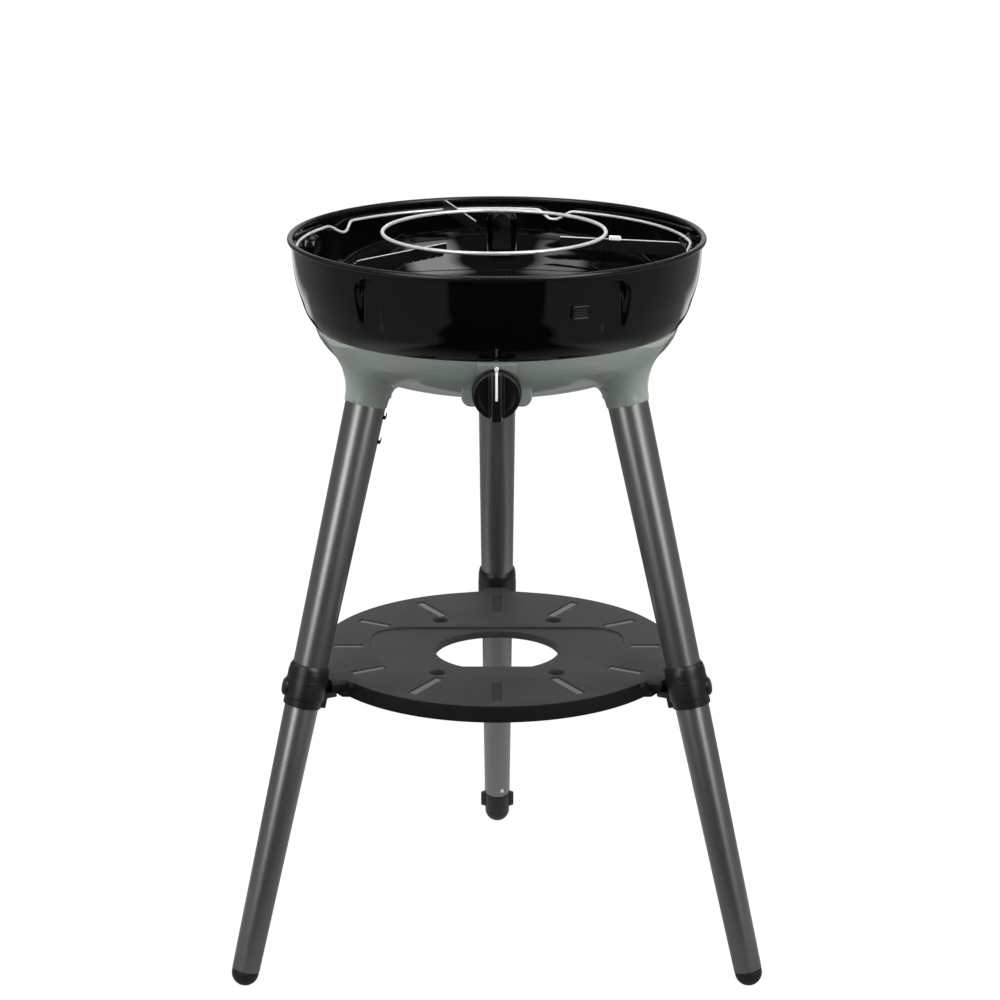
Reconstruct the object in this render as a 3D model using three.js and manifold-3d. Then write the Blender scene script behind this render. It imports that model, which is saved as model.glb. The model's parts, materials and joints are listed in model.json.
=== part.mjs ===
// Portable round gas barbecue: an enamelled fire bowl on a moulded base, three tapered legs with
// push-button collars, a shelf between the legs and a loose wire pan support.
// Units are millimetres, +Z is up and -Y is the front, where the control knob is.
import * as THREE from "three";
import { mergeVertices } from "three/addons/utils/BufferGeometryUtils.js";
import Module from "manifold-3d";

const wasm = await Module();
wasm.setup();

// ---------------------------------------------------------------- driving dimensions
const GAP = 0.3; // clearance between neighbouring pieces
const RIM_RADIUS = 250; // outside of the rolled rim
const RIM_HEIGHT = 894; // top of the rolled rim above the ground
const BEAD_RADIUS = 3.5; // half the thickness of the rolled rim
const BOWL_WALL = 1.6;
const BOWL_HOLE_RADIUS = 45; // hole in the bowl's floor for the burner
const JOINT_HEIGHT = 789; // where the bowl meets the base housing
const HOUSING_WALL = 2.5;
const HOUSING_RADIUS = 219.3;
const HOUSING_BOTTOM = 718;

const LEG_AZIMUTHS = { rear: 90, left: 210, right: 330 }; // degrees from +X
const LEG_FOOT_RADIUS = 357.7; // leg axis to bowl axis, at the ground
const LEG_SPLAY = Math.atan(0.2524); // lean of each leg towards the bowl
const LEG_BASE_RADIUS = 16.65; // tube radius at the ground
const LEG_TAPER = 0.0104; // growth of the tube radius per millimetre of length
const TUBE_WALL = 1.4;
const TUBE_JOINT = 371.5; // along the leg, where the lower tube meets the upper tube
const SOCKET_LIP = 730; // along the leg, lower lip of the socket
const TUBE_TOP = 775; // along the leg, top of the upper tube inside its socket
const COLLAR_BOTTOM = 357;
const COLLAR_TOP = 411;
const COLLAR_RADIUS = 24.9;
const SLEEVE_RADIUS = 18.3; // guide sleeve inside both tubes
const SLEEVE_WALL = 2.2;
const SLEEVE_BOTTOM = 330;
const SLEEVE_TOP = 425;
const BUTTON_HEIGHT = 377; // along the leg
const BUTTON_RADIUS = 9;
const BUTTON_TURNS = { rear: 0, left: -20, right: 20 }; // round the leg, from its outer side
const BUTTON_TRAVEL = 3;
const BUTTON_FACE = 28.2; // from the leg's axis to the released button's face
const FOOT_RADIUS = 16.5;
const FOOT_CENTRE = 16.2 / Math.cos(LEG_SPLAY); // along the leg, centre of the round foot
const FRONT_TUBE_END = 20.3; // along the leg, lower end of the two front tubes
const REAR_TUBE_END = 48; // along the leg, lower end of the rear tube
const REAR_FOOT_TRAVEL = 15;

const SHELF_TOP = 375;
const SHELF_RADIUS = 220;
const SHELF_PLATE = 6;
const SHELF_DEPTH = 20.7;
const SHELF_LUG_DEPTH = 15;

const SUPPORT_OFFSET = -3.2; // the loose pan support lies this far to the side of the bowl's axis
const OUTER_RING_RADIUS = 236;
const OUTER_RING_HEIGHT = 880;
const OUTER_WIRE_RADIUS = 2;
const INNER_RING_RADIUS = 132.5;
const INNER_RING_HEIGHT = 896;
const INNER_WIRE_RADIUS = 3;
const PLATE_TOP = INNER_RING_HEIGHT - INNER_WIRE_RADIUS - GAP;
const PLATE_AZIMUTHS = { right: -14, rear: 106, left: 226 };
const LEDGE_AZIMUTHS = [16.5, 88.5, 160.5, 232.5, 304.5]; // pressed ledges that carry the outer ring
const RING_DIP_AZIMUTHS = [-2.5, 71, 144.4, 216, 289]; // V-shaped dips in the outer ring

const KNOB_HEIGHT = 752.6;
const KNOB_RADIUS = 27.1;
const KNOB_FACE = -236; // front of the knob's disc
const KNOB_BACK = -223.5;
const GRIP_FACE = -247; // front of the knob's grip bar
const KNOB_TRAVEL = 3;
const BEZEL_RADIUS = 28.6;
const BEZEL_FACE = -219.5;
const DOT_RADIUS = 2.6; // white mark at the top of the bezel
const DOT_BACK = 214;
const DOT_HEIGHT = KNOB_HEIGHT + BEZEL_RADIUS - 0.5;
const POD_FACE = -205;
const POD_BACK = -152;
const POD_HALF_WIDTH = 40;
const POD_BOTTOM = 733;
const POD_TOP = 769;
const PAD_FACE = -216.5; // flat pad behind the top of the bezel
const PAD_BACK = -196;
const PAST_FRONT = 240; // cutting tools that open to the front reach this far forward

// The origin is the middle of the object's outline on the ground.
const REAR_EDGE = LEG_FOOT_RADIUS - FOOT_CENTRE * Math.sin(LEG_SPLAY) + FOOT_RADIUS;
const AXIS_Y = -(REAR_EDGE - RIM_RADIUS) / 2;

// ---------------------------------------------------------------- finishes
function finish(color, roughness, metalness) {
  return new THREE.MeshStandardMaterial({ color, roughness, metalness });
}
const BLACK_ENAMEL = finish(0x0d0d0d, 0.08, 0);
const GREY_MOULDING = finish(0x8c968e, 0.4, 0);
const TUBE_METAL = finish(0x6a6b68, 0.35, 0.9);
const BRIGHT_WIRE = finish(0xd9dadb, 0.2, 1);
const PLAIN_STEEL = finish(0xa8a8a6, 0.35, 1);
const CAST_ALUMINIUM = finish(0x8e8e8c, 0.55, 0.8);
const BRASS = finish(0xb08d4a, 0.35, 1);
const SHELF_PLASTIC = finish(0x444446, 0.7, 0);
const BLACK_PLASTIC = finish(0x171818, 0.45, 0);
const WHITE_INLAY = finish(0xf4f4f4, 0.4, 0);
const CERAMIC = finish(0xe8e4da, 0.5, 0);

// ---------------------------------------------------------------- geometry helpers
const MERGE_TOLERANCE = 1e-4;
const DEGREE = Math.PI / 180;

function toSolid(geometry) {
  const bare = geometry.clone();
  bare.deleteAttribute("normal");
  bare.deleteAttribute("uv");
  const merged = mergeVertices(bare, MERGE_TOLERANCE);
  const corners = merged.index.array;
  const kept = [];
  for (let i = 0; i < corners.length; i += 3) {
    const [a, b, c] = [corners[i], corners[i + 1], corners[i + 2]];
    if (a !== b && b !== c && c !== a) kept.push(a, b, c);
  }
  return new wasm.Manifold(new wasm.Mesh({
    numProp: 3,
    vertProperties: new Float32Array(merged.attributes.position.array),
    triVerts: new Uint32Array(kept),
  }));
}

function toGeometry(solid) {
  const mesh = solid.getMesh();
  const geometry = new THREE.BufferGeometry();
  geometry.setAttribute("position", new THREE.BufferAttribute(mesh.vertProperties, 3));
  geometry.setIndex(new THREE.BufferAttribute(mesh.triVerts, 1));
  geometry.computeVertexNormals();
  return geometry;
}

function join(...solids) {
  return solids.reduce((whole, solid) => whole.add(solid));
}

function cut(solid, ...tools) {
  return tools.reduce((whole, tool) => whole.subtract(tool), solid);
}

function point(x, y) {
  return new THREE.Vector2(x, y);
}

// A solid of revolution about +Z from an outline of [radius, height] pairs, given clockwise or not.
function turned(outline, sides) {
  const area = outline.reduce((sum, [r, h], i) => {
    const [nextR, nextH] = outline[(i + 1) % outline.length];
    return sum + r * nextH - nextR * h;
  }, 0);
  const ordered = area > 0 ? [...outline] : [...outline].reverse();
  const ends = [ordered[0][0], ordered[ordered.length - 1][0]];
  if (ends[0] !== 0 || ends[1] !== 0) ordered.push(ordered[0]);
  const lathe = new THREE.LatheGeometry(ordered.map(([r, h]) => point(r, h)), sides);
  return toSolid(lathe.rotateX(Math.PI / 2));
}

function disc(radius, bottom, top, sides = 24) {
  return turned([[0, bottom], [radius, bottom], [radius, top], [0, top]], sides);
}

function tube(outer, inner, bottom, top, sides = 24) {
  return turned([[inner, bottom], [outer, bottom], [outer, top], [inner, top]], sides);
}

function box(xRange, yRange, zRange) {
  const [[x0, x1], [y0, y1], [z0, z1]] = [xRange, yRange, zRange];
  const geometry = new THREE.BoxGeometry(x1 - x0, y1 - y0, z1 - z0);
  return toSolid(geometry.translate((x0 + x1) / 2, (y0 + y1) / 2, (z0 + z1) / 2));
}

// A flat outline in X and Y raised from one height to another.
function raised(shape, bottom, top, curveSegments = 8) {
  const depth = top - bottom;
  const geometry = new THREE.ExtrudeGeometry(shape, { depth, bevelEnabled: false, curveSegments });
  return toSolid(geometry.translate(0, 0, bottom));
}

function roundedRectangle(x0, x1, y0, y1, corner) {
  const shape = new THREE.Shape();
  shape.moveTo(x0 + corner, y0);
  shape.lineTo(x1 - corner, y0);
  shape.absarc(x1 - corner, y0 + corner, corner, -Math.PI / 2, 0);
  shape.lineTo(x1, y1 - corner);
  shape.absarc(x1 - corner, y1 - corner, corner, 0, Math.PI / 2);
  shape.lineTo(x0 + corner, y1);
  shape.absarc(x0 + corner, y1 - corner, corner, Math.PI / 2, Math.PI);
  shape.lineTo(x0, y0 + corner);
  shape.absarc(x0 + corner, y0 + corner, corner, Math.PI, Math.PI * 1.5);
  return shape;
}

// Turns a solid made about +Z so that its axis is the front-to-back line, with +Z facing the front.
function facingFront(solid, height = 0) {
  return solid.rotate([90, 0, 0]).translate([0, 0, height]);
}

// Turns a solid made about +Z so that its axis is +X.
function facingOut(solid, height) {
  return solid.rotate([0, 90, 0]).translate([0, 0, height]);
}

function smoothOutline(points, steps) {
  const curve = new THREE.SplineCurve(points.map(([r, h]) => point(r, h)));
  return curve.getPoints(steps).map((p) => [p.x, p.y]);
}

// The same outline moved sideways by a distance, to its left as it runs.
function offsetOutline(outline, distance) {
  return outline.map(([r, h], i) => {
    const before = outline[Math.max(i - 1, 0)];
    const after = outline[Math.min(i + 1, outline.length - 1)];
    const along = point(after[0] - before[0], after[1] - before[1]).normalize();
    return [r - along.y * distance, h + along.x * distance];
  });
}

function polar(radius, azimuth) {
  return [radius * Math.cos(azimuth * DEGREE), radius * Math.sin(azimuth * DEGREE)];
}

// ---------------------------------------------------------------- assembly frames
const grill = new THREE.Group();
const model = new THREE.Group();
model.position.y = AXIS_Y;
grill.add(model);

function addPiece(name, solid, material, parent = model) {
  const mesh = new THREE.Mesh(toGeometry(solid), material);
  mesh.name = name;
  parent.add(mesh);
  return mesh;
}

// A leg's own frame: +Z runs up the leg from the ground and +X points away from the bowl's axis.
function legFrame(azimuth) {
  const frame = new THREE.Group();
  frame.position.set(...polar(LEG_FOOT_RADIUS, azimuth), 0);
  frame.rotation.set(0, -LEG_SPLAY, azimuth * DEGREE, "ZYX");
  model.add(frame);
  return frame;
}

function inLegFrame(solid, azimuth) {
  return solid
    .rotate([0, -LEG_SPLAY / DEGREE, 0])
    .rotate([0, 0, azimuth])
    .translate([...polar(LEG_FOOT_RADIUS, azimuth), 0]);
}

function legRadius(along) {
  return LEG_BASE_RADIUS + LEG_TAPER * along;
}

// ---------------------------------------------------------------- fire bowl
const SCREW_HOLE = 2.6;
const BOWL_SCREW_RADIUS = 118;
const BOWL_SCREW_AZIMUTHS = [45, 135, 225, 315];
const BOWL_SIDES = 36;
const WALL_TOP = RIM_HEIGHT - 2 * BEAD_RADIUS;
const BOWL_FLOOR = 760.5;
const bowlOutside = smoothOutline([
  [245.7, WALL_TOP],
  [244.2, 870],
  [242, 849],
  [236.7, 827],
  [229.2, 805],
  [218.8, JOINT_HEIGHT],
  [203, 775.5],
  [180, 765],
  [150, BOWL_FLOOR],
], 7);

function bowlSkin() {
  const inside = offsetOutline(bowlOutside, -BOWL_WALL).reverse();
  const bead = [];
  const beadCentre = [RIM_RADIUS - BEAD_RADIUS, RIM_HEIGHT - BEAD_RADIUS];
  for (let turn = 200; turn >= -50; turn -= 50) {
    const [dr, dh] = polar(BEAD_RADIUS, turn);
    bead.push([beadCentre[0] + dr, beadCentre[1] + dh]);
  }
  const floorEdge = [[BOWL_HOLE_RADIUS, BOWL_FLOOR], [BOWL_HOLE_RADIUS, BOWL_FLOOR + BOWL_WALL]];
  return turned([...bead, ...bowlOutside, ...floorEdge, ...inside], BOWL_SIDES);
}

// Each ledge is pressed into the leaning wall with an upright face, so it is deepest at its flat top
// and runs out into the wall further down.
const LEDGE_TOP = OUTER_RING_HEIGHT - OUTER_WIRE_RADIUS - GAP;
const LEDGE_BOTTOM = 805;
const LEDGE_INNER_RADIUS = 231.2;
const LEDGE_HALF_WIDTH = 16;

function ledgeBlock(shrink, outerRadius) {
  const innerRadius = LEDGE_INNER_RADIUS + shrink;
  const side = new THREE.Shape([
    point(outerRadius, LEDGE_BOTTOM + shrink),
    point(outerRadius, LEDGE_TOP - shrink),
    point(innerRadius, LEDGE_TOP - shrink),
    point(innerRadius, LEDGE_BOTTOM + shrink),
  ]);
  const half = LEDGE_HALF_WIDTH - shrink;
  return raised(side, -half, half).rotate([90, 0, 0]);
}

function fireBowl() {
  const filled = turned([[0, WALL_TOP], ...bowlOutside, [0, BOWL_FLOOR]], BOWL_SIDES);
  let bowl = bowlSkin();
  for (const azimuth of LEDGE_AZIMUTHS) {
    const ledge = ledgeBlock(0, OUTER_RING_RADIUS + 10).rotate([0, 0, azimuth]).intersect(filled);
    const pocket = ledgeBlock(BOWL_WALL, RIM_RADIUS).rotate([0, 0, azimuth]);
    bowl = bowl.add(ledge).subtract(pocket);
  }
  for (const azimuth of BOWL_SCREW_AZIMUTHS) {
    const [x, y] = polar(BOWL_SCREW_RADIUS, azimuth);
    bowl = bowl.subtract(disc(SCREW_HOLE, BOWL_FLOOR - 5, BOWL_FLOOR + 8, 8).translate([x, y, 0]));
  }
  return bowl;
}

// ---------------------------------------------------------------- base housing
const POST_RADIUS = 7;
const PAD_HALF_WIDTH = 23;
const PAD_BOTTOM = POD_TOP + 1;
const SOCKET_LIP_RADIUS = 25.6;
const SOCKET_FLARE = 0.0081; // growth of the socket's radius with the square of the height
const SOCKET_SCREW = 743; // along the leg
const SCREW_SEAT = 28.8; // from the leg's axis to the seat of the screw head
const HOUSING_SIDES = 32;
const VENT_RADIUS = 34; // air opening under the burner
const belly = smoothOutline([
  [HOUSING_RADIUS, JOINT_HEIGHT],
  [214.5, 776],
  [204, 761.5],
  [189, 748.5],
  [168, 736.5],
  [143, 727.3],
  [112, 720.8],
  [80, HOUSING_BOTTOM],
], 5);

function legSocket() {
  const outside = [];
  for (let rise = 0; rise <= 72; rise += 18) {
    outside.push([SOCKET_LIP_RADIUS + SOCKET_FLARE * rise ** 2, SOCKET_LIP + rise]);
  }
  const top = outside[outside.length - 1][1];
  return turned([[0, SOCKET_LIP], ...outside, [0, top]], 16);
}

// The room inside the housing under the bowl, which the leg sockets may fill.
function socketEnvelope() {
  return turned([
    [0, HOUSING_BOTTOM - 30],
    [HOUSING_RADIUS, HOUSING_BOTTOM - 30],
    [HOUSING_RADIUS, JOINT_HEIGHT],
    [HOUSING_RADIUS - HOUSING_WALL, JOINT_HEIGHT],
    [199, 771],
    [148, 756],
    [0, 756],
  ], HOUSING_SIDES);
}

// The room that the bowl takes up, with clearance all round.
function bowlSpace() {
  const clearance = offsetOutline(bowlOutside, GAP);
  return turned([[0, WALL_TOP], ...clearance, [0, BOWL_FLOOR - GAP]], BOWL_SIDES);
}

function baseHousing() {
  const outside = turned([[0, JOINT_HEIGHT], ...belly, [0, HOUSING_BOTTOM]], HOUSING_SIDES);
  const inner = offsetOutline(belly, -HOUSING_WALL);
  const floor = HOUSING_BOTTOM + HOUSING_WALL;
  const above = JOINT_HEIGHT + 9;
  const inside = turned([[0, above], [inner[0][0], above], ...inner, [0, floor]], HOUSING_SIDES);
  let sockets = null;
  let bores = null;
  for (const azimuth of Object.values(LEG_AZIMUTHS)) {
    const socket = inLegFrame(legSocket(), azimuth);
    const boreRadius = legRadius(TUBE_TOP) + GAP;
    const bore = inLegFrame(disc(boreRadius, SOCKET_LIP - 20, TUBE_TOP + 1, 16), azimuth);
    const screwHole = disc(SCREW_HOLE, -60, 0, 8);
    const hole = inLegFrame(facingOut(screwHole, SOCKET_SCREW), azimuth);
    const tools = bore.add(hole);
    sockets = sockets ? sockets.add(socket) : socket;
    bores = bores ? bores.add(tools) : tools;
  }
  const pad = box([-PAD_HALF_WIDTH, PAD_HALF_WIDTH], [PAD_FACE, PAD_BACK], [PAD_BOTTOM, JOINT_HEIGHT - 3]);
  const bezelHole = facingFront(disc(BEZEL_RADIUS + GAP, -POD_FACE, PAST_FRONT), KNOB_HEIGHT);
  const shell = cut(outside, inside, bezelHole);
  let housing = join(shell, sockets.intersect(socketEnvelope()), pad);
  for (const azimuth of BOWL_SCREW_AZIMUTHS) {
    const [x, y] = polar(BOWL_SCREW_RADIUS, azimuth);
    const post = disc(POST_RADIUS, HOUSING_BOTTOM + 4, BOWL_FLOOR, 8).translate([x, y, 0]);
    const hole = disc(SCREW_HOLE, HOUSING_BOTTOM + 12, BOWL_FLOOR + 9, 8).translate([x, y, 0]);
    housing = housing.add(post).subtract(hole);
  }
  const podOutline = roundedRectangle(
    -POD_HALF_WIDTH - GAP, POD_HALF_WIDTH + GAP, POD_BOTTOM - 40, POD_TOP + GAP, 3);
  const podSpace = raised(podOutline, -POD_BACK - GAP, PAST_FRONT, 3).rotate([90, 0, 0]);
  const bezelSpace = facingFront(disc(BEZEL_RADIUS + GAP, -PAD_FACE, PAST_FRONT), KNOB_HEIGHT);
  const dotSpace = facingFront(disc(DOT_RADIUS + GAP, DOT_BACK - GAP, PAST_FRONT, 10), DOT_HEIGHT);
  const vent = disc(VENT_RADIUS, HOUSING_BOTTOM - 5, HOUSING_BOTTOM + 10, 16);
  return cut(housing, bowlSpace(), bores, podSpace, bezelSpace, dotSpace, vent);
}

// ---------------------------------------------------------------- pan support
const DIP_HALF_ANGLE = 6; // degrees along the ring
const DIP_DEPTH = 10;
const DIP_INWARD = 7;

function outerRing() {
  const ring = new THREE.TorusGeometry(OUTER_RING_RADIUS, OUTER_WIRE_RADIUS, 5, 120);
  const places = ring.attributes.position;
  for (let i = 0; i < places.count; i += 1) {
    const azimuth = Math.atan2(places.getY(i), places.getX(i)) / DEGREE;
    const away = Math.min(...RING_DIP_AZIMUTHS.map((dip) => {
      const turn = Math.abs(azimuth - dip) % 360;
      return Math.min(turn, 360 - turn);
    }));
    const dip = Math.max(0, 1 - away / DIP_HALF_ANGLE);
    const scale = 1 - (DIP_INWARD * dip) / OUTER_RING_RADIUS;
    const height = places.getZ(i) + OUTER_RING_HEIGHT - DIP_DEPTH * dip;
    places.setXYZ(i, places.getX(i) * scale, places.getY(i) * scale, height);
  }
  return toSolid(ring);
}

function innerRing() {
  const ring = new THREE.TorusGeometry(INNER_RING_RADIUS, INNER_WIRE_RADIUS, 6, 32);
  return toSolid(ring.translate(0, 0, INNER_RING_HEIGHT));
}

const PLATE_TIP = 80.5; // inner end of a plate, from the ring's axis
const PLATE_TIP_DEPTH = 7.5; // height of the plate there
const PLATE_END = 233.6;
const PLATE_END_DEPTH = 17; // from the plate's top down to its lower outer corner
const PLATE_END_FALL = 7; // the top edge falls this far towards its outer end
const PLATE_FALL_LENGTH = 10;
const PLATE_THICKNESS = 1.5;
const TEETH_START = 87;
const TEETH_DEPTH = 15; // from the plate's top down to the teeth
const TOOTH_PITCH = 12.4;
const TOOTH_COUNT = 6;
const NOTCH_WIDTH = 2.6;
const NOTCH_HEIGHT = 3;
const TAB_START = 140;
const TAB_LENGTH = 14.5;
const TAB_HALF_THICKNESS = 1.5;

function supportPlate() {
  const outline = new THREE.Shape();
  const toothTips = PLATE_TOP - TEETH_DEPTH;
  outline.moveTo(PLATE_TIP, PLATE_TOP - PLATE_TIP_DEPTH);
  for (let tooth = 0; tooth < TOOTH_COUNT; tooth += 1) {
    const start = TEETH_START + tooth * TOOTH_PITCH;
    const end = start + TOOTH_PITCH - NOTCH_WIDTH;
    outline.lineTo(start, toothTips);
    outline.lineTo(end, toothTips);
    outline.lineTo(end + NOTCH_WIDTH / 2, toothTips + NOTCH_HEIGHT);
  }
  outline.lineTo(TEETH_START + TOOTH_COUNT * TOOTH_PITCH, toothTips);
  outline.lineTo(PLATE_END, PLATE_TOP - PLATE_END_DEPTH);
  outline.lineTo(PLATE_END, PLATE_TOP - PLATE_END_FALL);
  outline.quadraticCurveTo(PLATE_END - 1, PLATE_TOP, PLATE_END - PLATE_FALL_LENGTH, PLATE_TOP);
  outline.lineTo(PLATE_TIP, PLATE_TOP);
  const half = PLATE_THICKNESS / 2;
  return raised(outline, -half, half, 4).rotate([90, 0, 0]);
}

// A small tab standing on one plate's top edge, just outside the inner ring.
function supportTab() {
  const sides = [-TAB_HALF_THICKNESS, TAB_HALF_THICKNESS];
  const top = INNER_RING_HEIGHT + INNER_WIRE_RADIUS - 0.5;
  return box([TAB_START, TAB_START + TAB_LENGTH], sides, [PLATE_TOP + GAP, top]);
}

// ---------------------------------------------------------------- burner and gas parts
const BURNER_RADIUS = 55;
const VENTURI_HEIGHT = 745.5;
const VENTURI_RADIUS = 9;
const VENTURI_START = -140; // open front end, in front of the gas jet
const DISH_BOTTOM = 769;
const BURNER_TOP = 792;

function burnerHead() {
  const bore = VENTURI_RADIUS - 2;
  const neck = tube(VENTURI_RADIUS + 4, bore, BOWL_FLOOR - 3, DISH_BOTTOM + 1, 20);
  const dish = turned([
    [bore, DISH_BOTTOM],
    [BURNER_RADIUS - 12, DISH_BOTTOM],
    [BURNER_RADIUS, DISH_BOTTOM + 9],
    [BURNER_RADIUS, BURNER_TOP],
    [BURNER_RADIUS - 5, BURNER_TOP],
    [BURNER_RADIUS - 5, DISH_BOTTOM + 11],
    [BURNER_RADIUS - 14, DISH_BOTTOM + 5],
    [bore, DISH_BOTTOM + 5],
  ], 20);
  return join(neck, dish);
}

function burnerCap() {
  const [edge, underside] = [BURNER_RADIUS + 3, BURNER_TOP + GAP];
  const dome = [[0, BURNER_TOP + 11], [25, BURNER_TOP + 10], [45, BURNER_TOP + 6.5]];
  return turned([...dome, [edge, BURNER_TOP + 1.5], [edge, underside], [0, underside]], 20);
}

function burnerBracket() {
  const [underside, inner] = [BOWL_FLOOR + BOWL_WALL + GAP, VENTURI_RADIUS + 4 + GAP];
  return tube(BOWL_HOLE_RADIUS + 15, inner, underside, DISH_BOTTOM - 3.5, 20);
}

// A pan head and its shank, with the head's seat at height zero and the shank below it.
function panScrew(headRadius, headHeight, shankRadius, shankLength, sides = 10) {
  return turned([
    [0, -shankLength],
    [shankRadius, -shankLength],
    [shankRadius, 0],
    [headRadius, 0],
    [headRadius, headHeight * 0.5],
    [headRadius * 0.6, headHeight],
    [0, headHeight],
  ], sides);
}

function venturiTube() {
  const route = new THREE.CurvePath();
  const [start, bend, end] = [VENTURI_START, -16, BOWL_FLOOR - 3 - GAP];
  const corner = new THREE.Vector3(0, 0, VENTURI_HEIGHT);
  const beforeBend = new THREE.Vector3(0, bend, VENTURI_HEIGHT);
  const afterBend = new THREE.Vector3(0, 0, end - 1);
  route.add(new THREE.LineCurve3(new THREE.Vector3(0, start, VENTURI_HEIGHT), beforeBend));
  route.add(new THREE.QuadraticBezierCurve3(beforeBend, corner, afterBend));
  route.add(new THREE.LineCurve3(afterBend, new THREE.Vector3(0, 0, end)));
  const section = new THREE.Shape().absarc(0, 0, VENTURI_RADIUS, 0, 2 * Math.PI);
  const options = { steps: 10, bevelEnabled: false, extrudePath: route, curveSegments: 5 };
  const body = toSolid(new THREE.ExtrudeGeometry(section, options));
  return cut(body, facingFront(disc(VENTURI_RADIUS - 3, 100, 20 - VENTURI_START, 12), VENTURI_HEIGHT));
}

const JET_BACK = -154;
const VALVE_FRONT = -201;
const VALVE_BACK = -178;
const VALVE_RADIUS = 10;
const STEM_RADIUS = 4;
const STEM_END = 184; // inner end of the stem, with room behind it for the push
const BORE_END = 180;
const SPRING_STOP = 188; // step in the valve that the knob's spring presses on
const SEAT_RADIUS = 8;
const SEAT_FRONT = 199;
const SEAT_THICKNESS = 1.6;
const INLET_PLACE = -190; // front-to-back place of the gas inlet
const INLET_BOTTOM = 715;

function valveBody() {
  const body = facingFront(disc(VALVE_RADIUS, -VALVE_BACK, -VALVE_FRONT), KNOB_HEIGHT);
  const bore = facingFront(disc(STEM_RADIUS + GAP, BORE_END, PAST_FRONT, 10), KNOB_HEIGHT);
  const springBore = facingFront(disc(SEAT_RADIUS + 0.5, SPRING_STOP, PAST_FRONT, 12), KNOB_HEIGHT);
  return cut(body, bore, springBore);
}

function gasJet() {
  const length = VALVE_BACK - JET_BACK;
  const profile = [[0, 0], [5, 0], [5, 5], [3, 8], [3, -length - GAP], [0, -length - GAP]];
  const jet = turned(profile, 12);
  return jet.rotate([-90, 0, 0]).translate([0, VALVE_BACK + GAP, VENTURI_HEIGHT]);
}

function gasInlet() {
  const top = KNOB_HEIGHT - VALVE_RADIUS - GAP;
  const nut = disc(9, POD_BOTTOM - 8, POD_BOTTOM - GAP, 6);
  const neck = tube(6, 3, INLET_BOTTOM, top, 12);
  const barrel = cut(nut, disc(3, INLET_BOTTOM, top, 12));
  return join(neck, barrel).translate([0, INLET_PLACE, 0]);
}

const ELECTRODE_PLACE = -66; // front-to-back place of the spark electrode
const ELECTRODE_BOTTOM = 766;
const SPARK_ROD_RADIUS = 1;
const SPARK_ROD_TOP = 790;

function sparkElectrode() {
  const bore = SPARK_ROD_RADIUS + GAP;
  const insulator = tube(3.5, bore, ELECTRODE_BOTTOM, ELECTRODE_BOTTOM + 20, 10);
  const flange = tube(6, bore, ELECTRODE_BOTTOM, ELECTRODE_BOTTOM + 2.5, 10);
  return join(insulator, flange).translate([0, ELECTRODE_PLACE, 0]);
}

// The rod that runs through the insulator and bends over towards the burner's cap.
function sparkTip() {
  const reach = 8;
  const rod = disc(SPARK_ROD_RADIUS, ELECTRODE_BOTTOM - 2, SPARK_ROD_TOP, 8);
  const finger = facingFront(disc(SPARK_ROD_RADIUS, 0, reach, 8), SPARK_ROD_TOP - SPARK_ROD_RADIUS);
  return join(rod, finger.translate([0, reach, 0])).translate([0, ELECTRODE_PLACE, 0]);
}

// ---------------------------------------------------------------- knob and pod
function controlPod() {
  const outline = roundedRectangle(-POD_HALF_WIDTH, POD_HALF_WIDTH, POD_BOTTOM, POD_TOP, 11);
  const inner = roundedRectangle(
    -POD_HALF_WIDTH + 2.5, POD_HALF_WIDTH - 2.5, POD_BOTTOM + 2.5, POD_TOP - 2.5, 8.5);
  const shell = raised(outline, -POD_BACK, -POD_FACE, 4);
  const hollow = raised(inner, -POD_BACK - 5, -POD_FACE - 2.5, 4);
  const pod = cut(shell, hollow).rotate([90, 0, 0]);
  const stemHole = facingFront(disc(STEM_RADIUS + 1, STEM_END, PAST_FRONT, 12), KNOB_HEIGHT);
  const inletHole = disc(6 + GAP, POD_BOTTOM - 5, POD_BOTTOM + 5, 12);
  return cut(pod, stemHole, inletHole.translate([0, INLET_PLACE, 0]), bowlSpace());
}

function knobBezel() {
  const ring = turned([
    [STEM_RADIUS + 1, -POD_FACE + GAP],
    [BEZEL_RADIUS, -POD_FACE + GAP],
    [BEZEL_RADIUS, -BEZEL_FACE - 1],
    [BEZEL_RADIUS - 1, -BEZEL_FACE],
    [BEZEL_RADIUS - 3, -BEZEL_FACE],
    [BEZEL_RADIUS - 4, -BEZEL_FACE - 2],
    [STEM_RADIUS + 1, -BEZEL_FACE - 2],
  ], 24);
  const dotSpace = facingFront(disc(DOT_RADIUS + GAP, -POD_FACE - 5, PAST_FRONT, 10), DOT_HEIGHT);
  const half = PAD_HALF_WIDTH + GAP;
  const padSpace = box([-half, half], [PAD_FACE - GAP, PAD_BACK + 6], [PAD_BOTTOM - GAP, JOINT_HEIGHT]);
  return cut(facingFront(ring, KNOB_HEIGHT), dotSpace, padSpace, bowlSpace());
}

function indexDot() {
  return facingFront(disc(DOT_RADIUS, DOT_BACK, -BEZEL_FACE + 0.4, 10), DOT_HEIGHT);
}

const GRIP_BASE_HALF = 8.6;
const GRIP_FACE_HALF = 4.4;
const POINTER_HALF = 1.8;
const POINTER_DEPTH = 1;
const POINTER_DROP = 2.2; // how far the pointer reaches below the knob's middle
const POINTER_BACK = -226;
const STEM_COVER = 4; // thickness of the knob's disc in front of the stem

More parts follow.
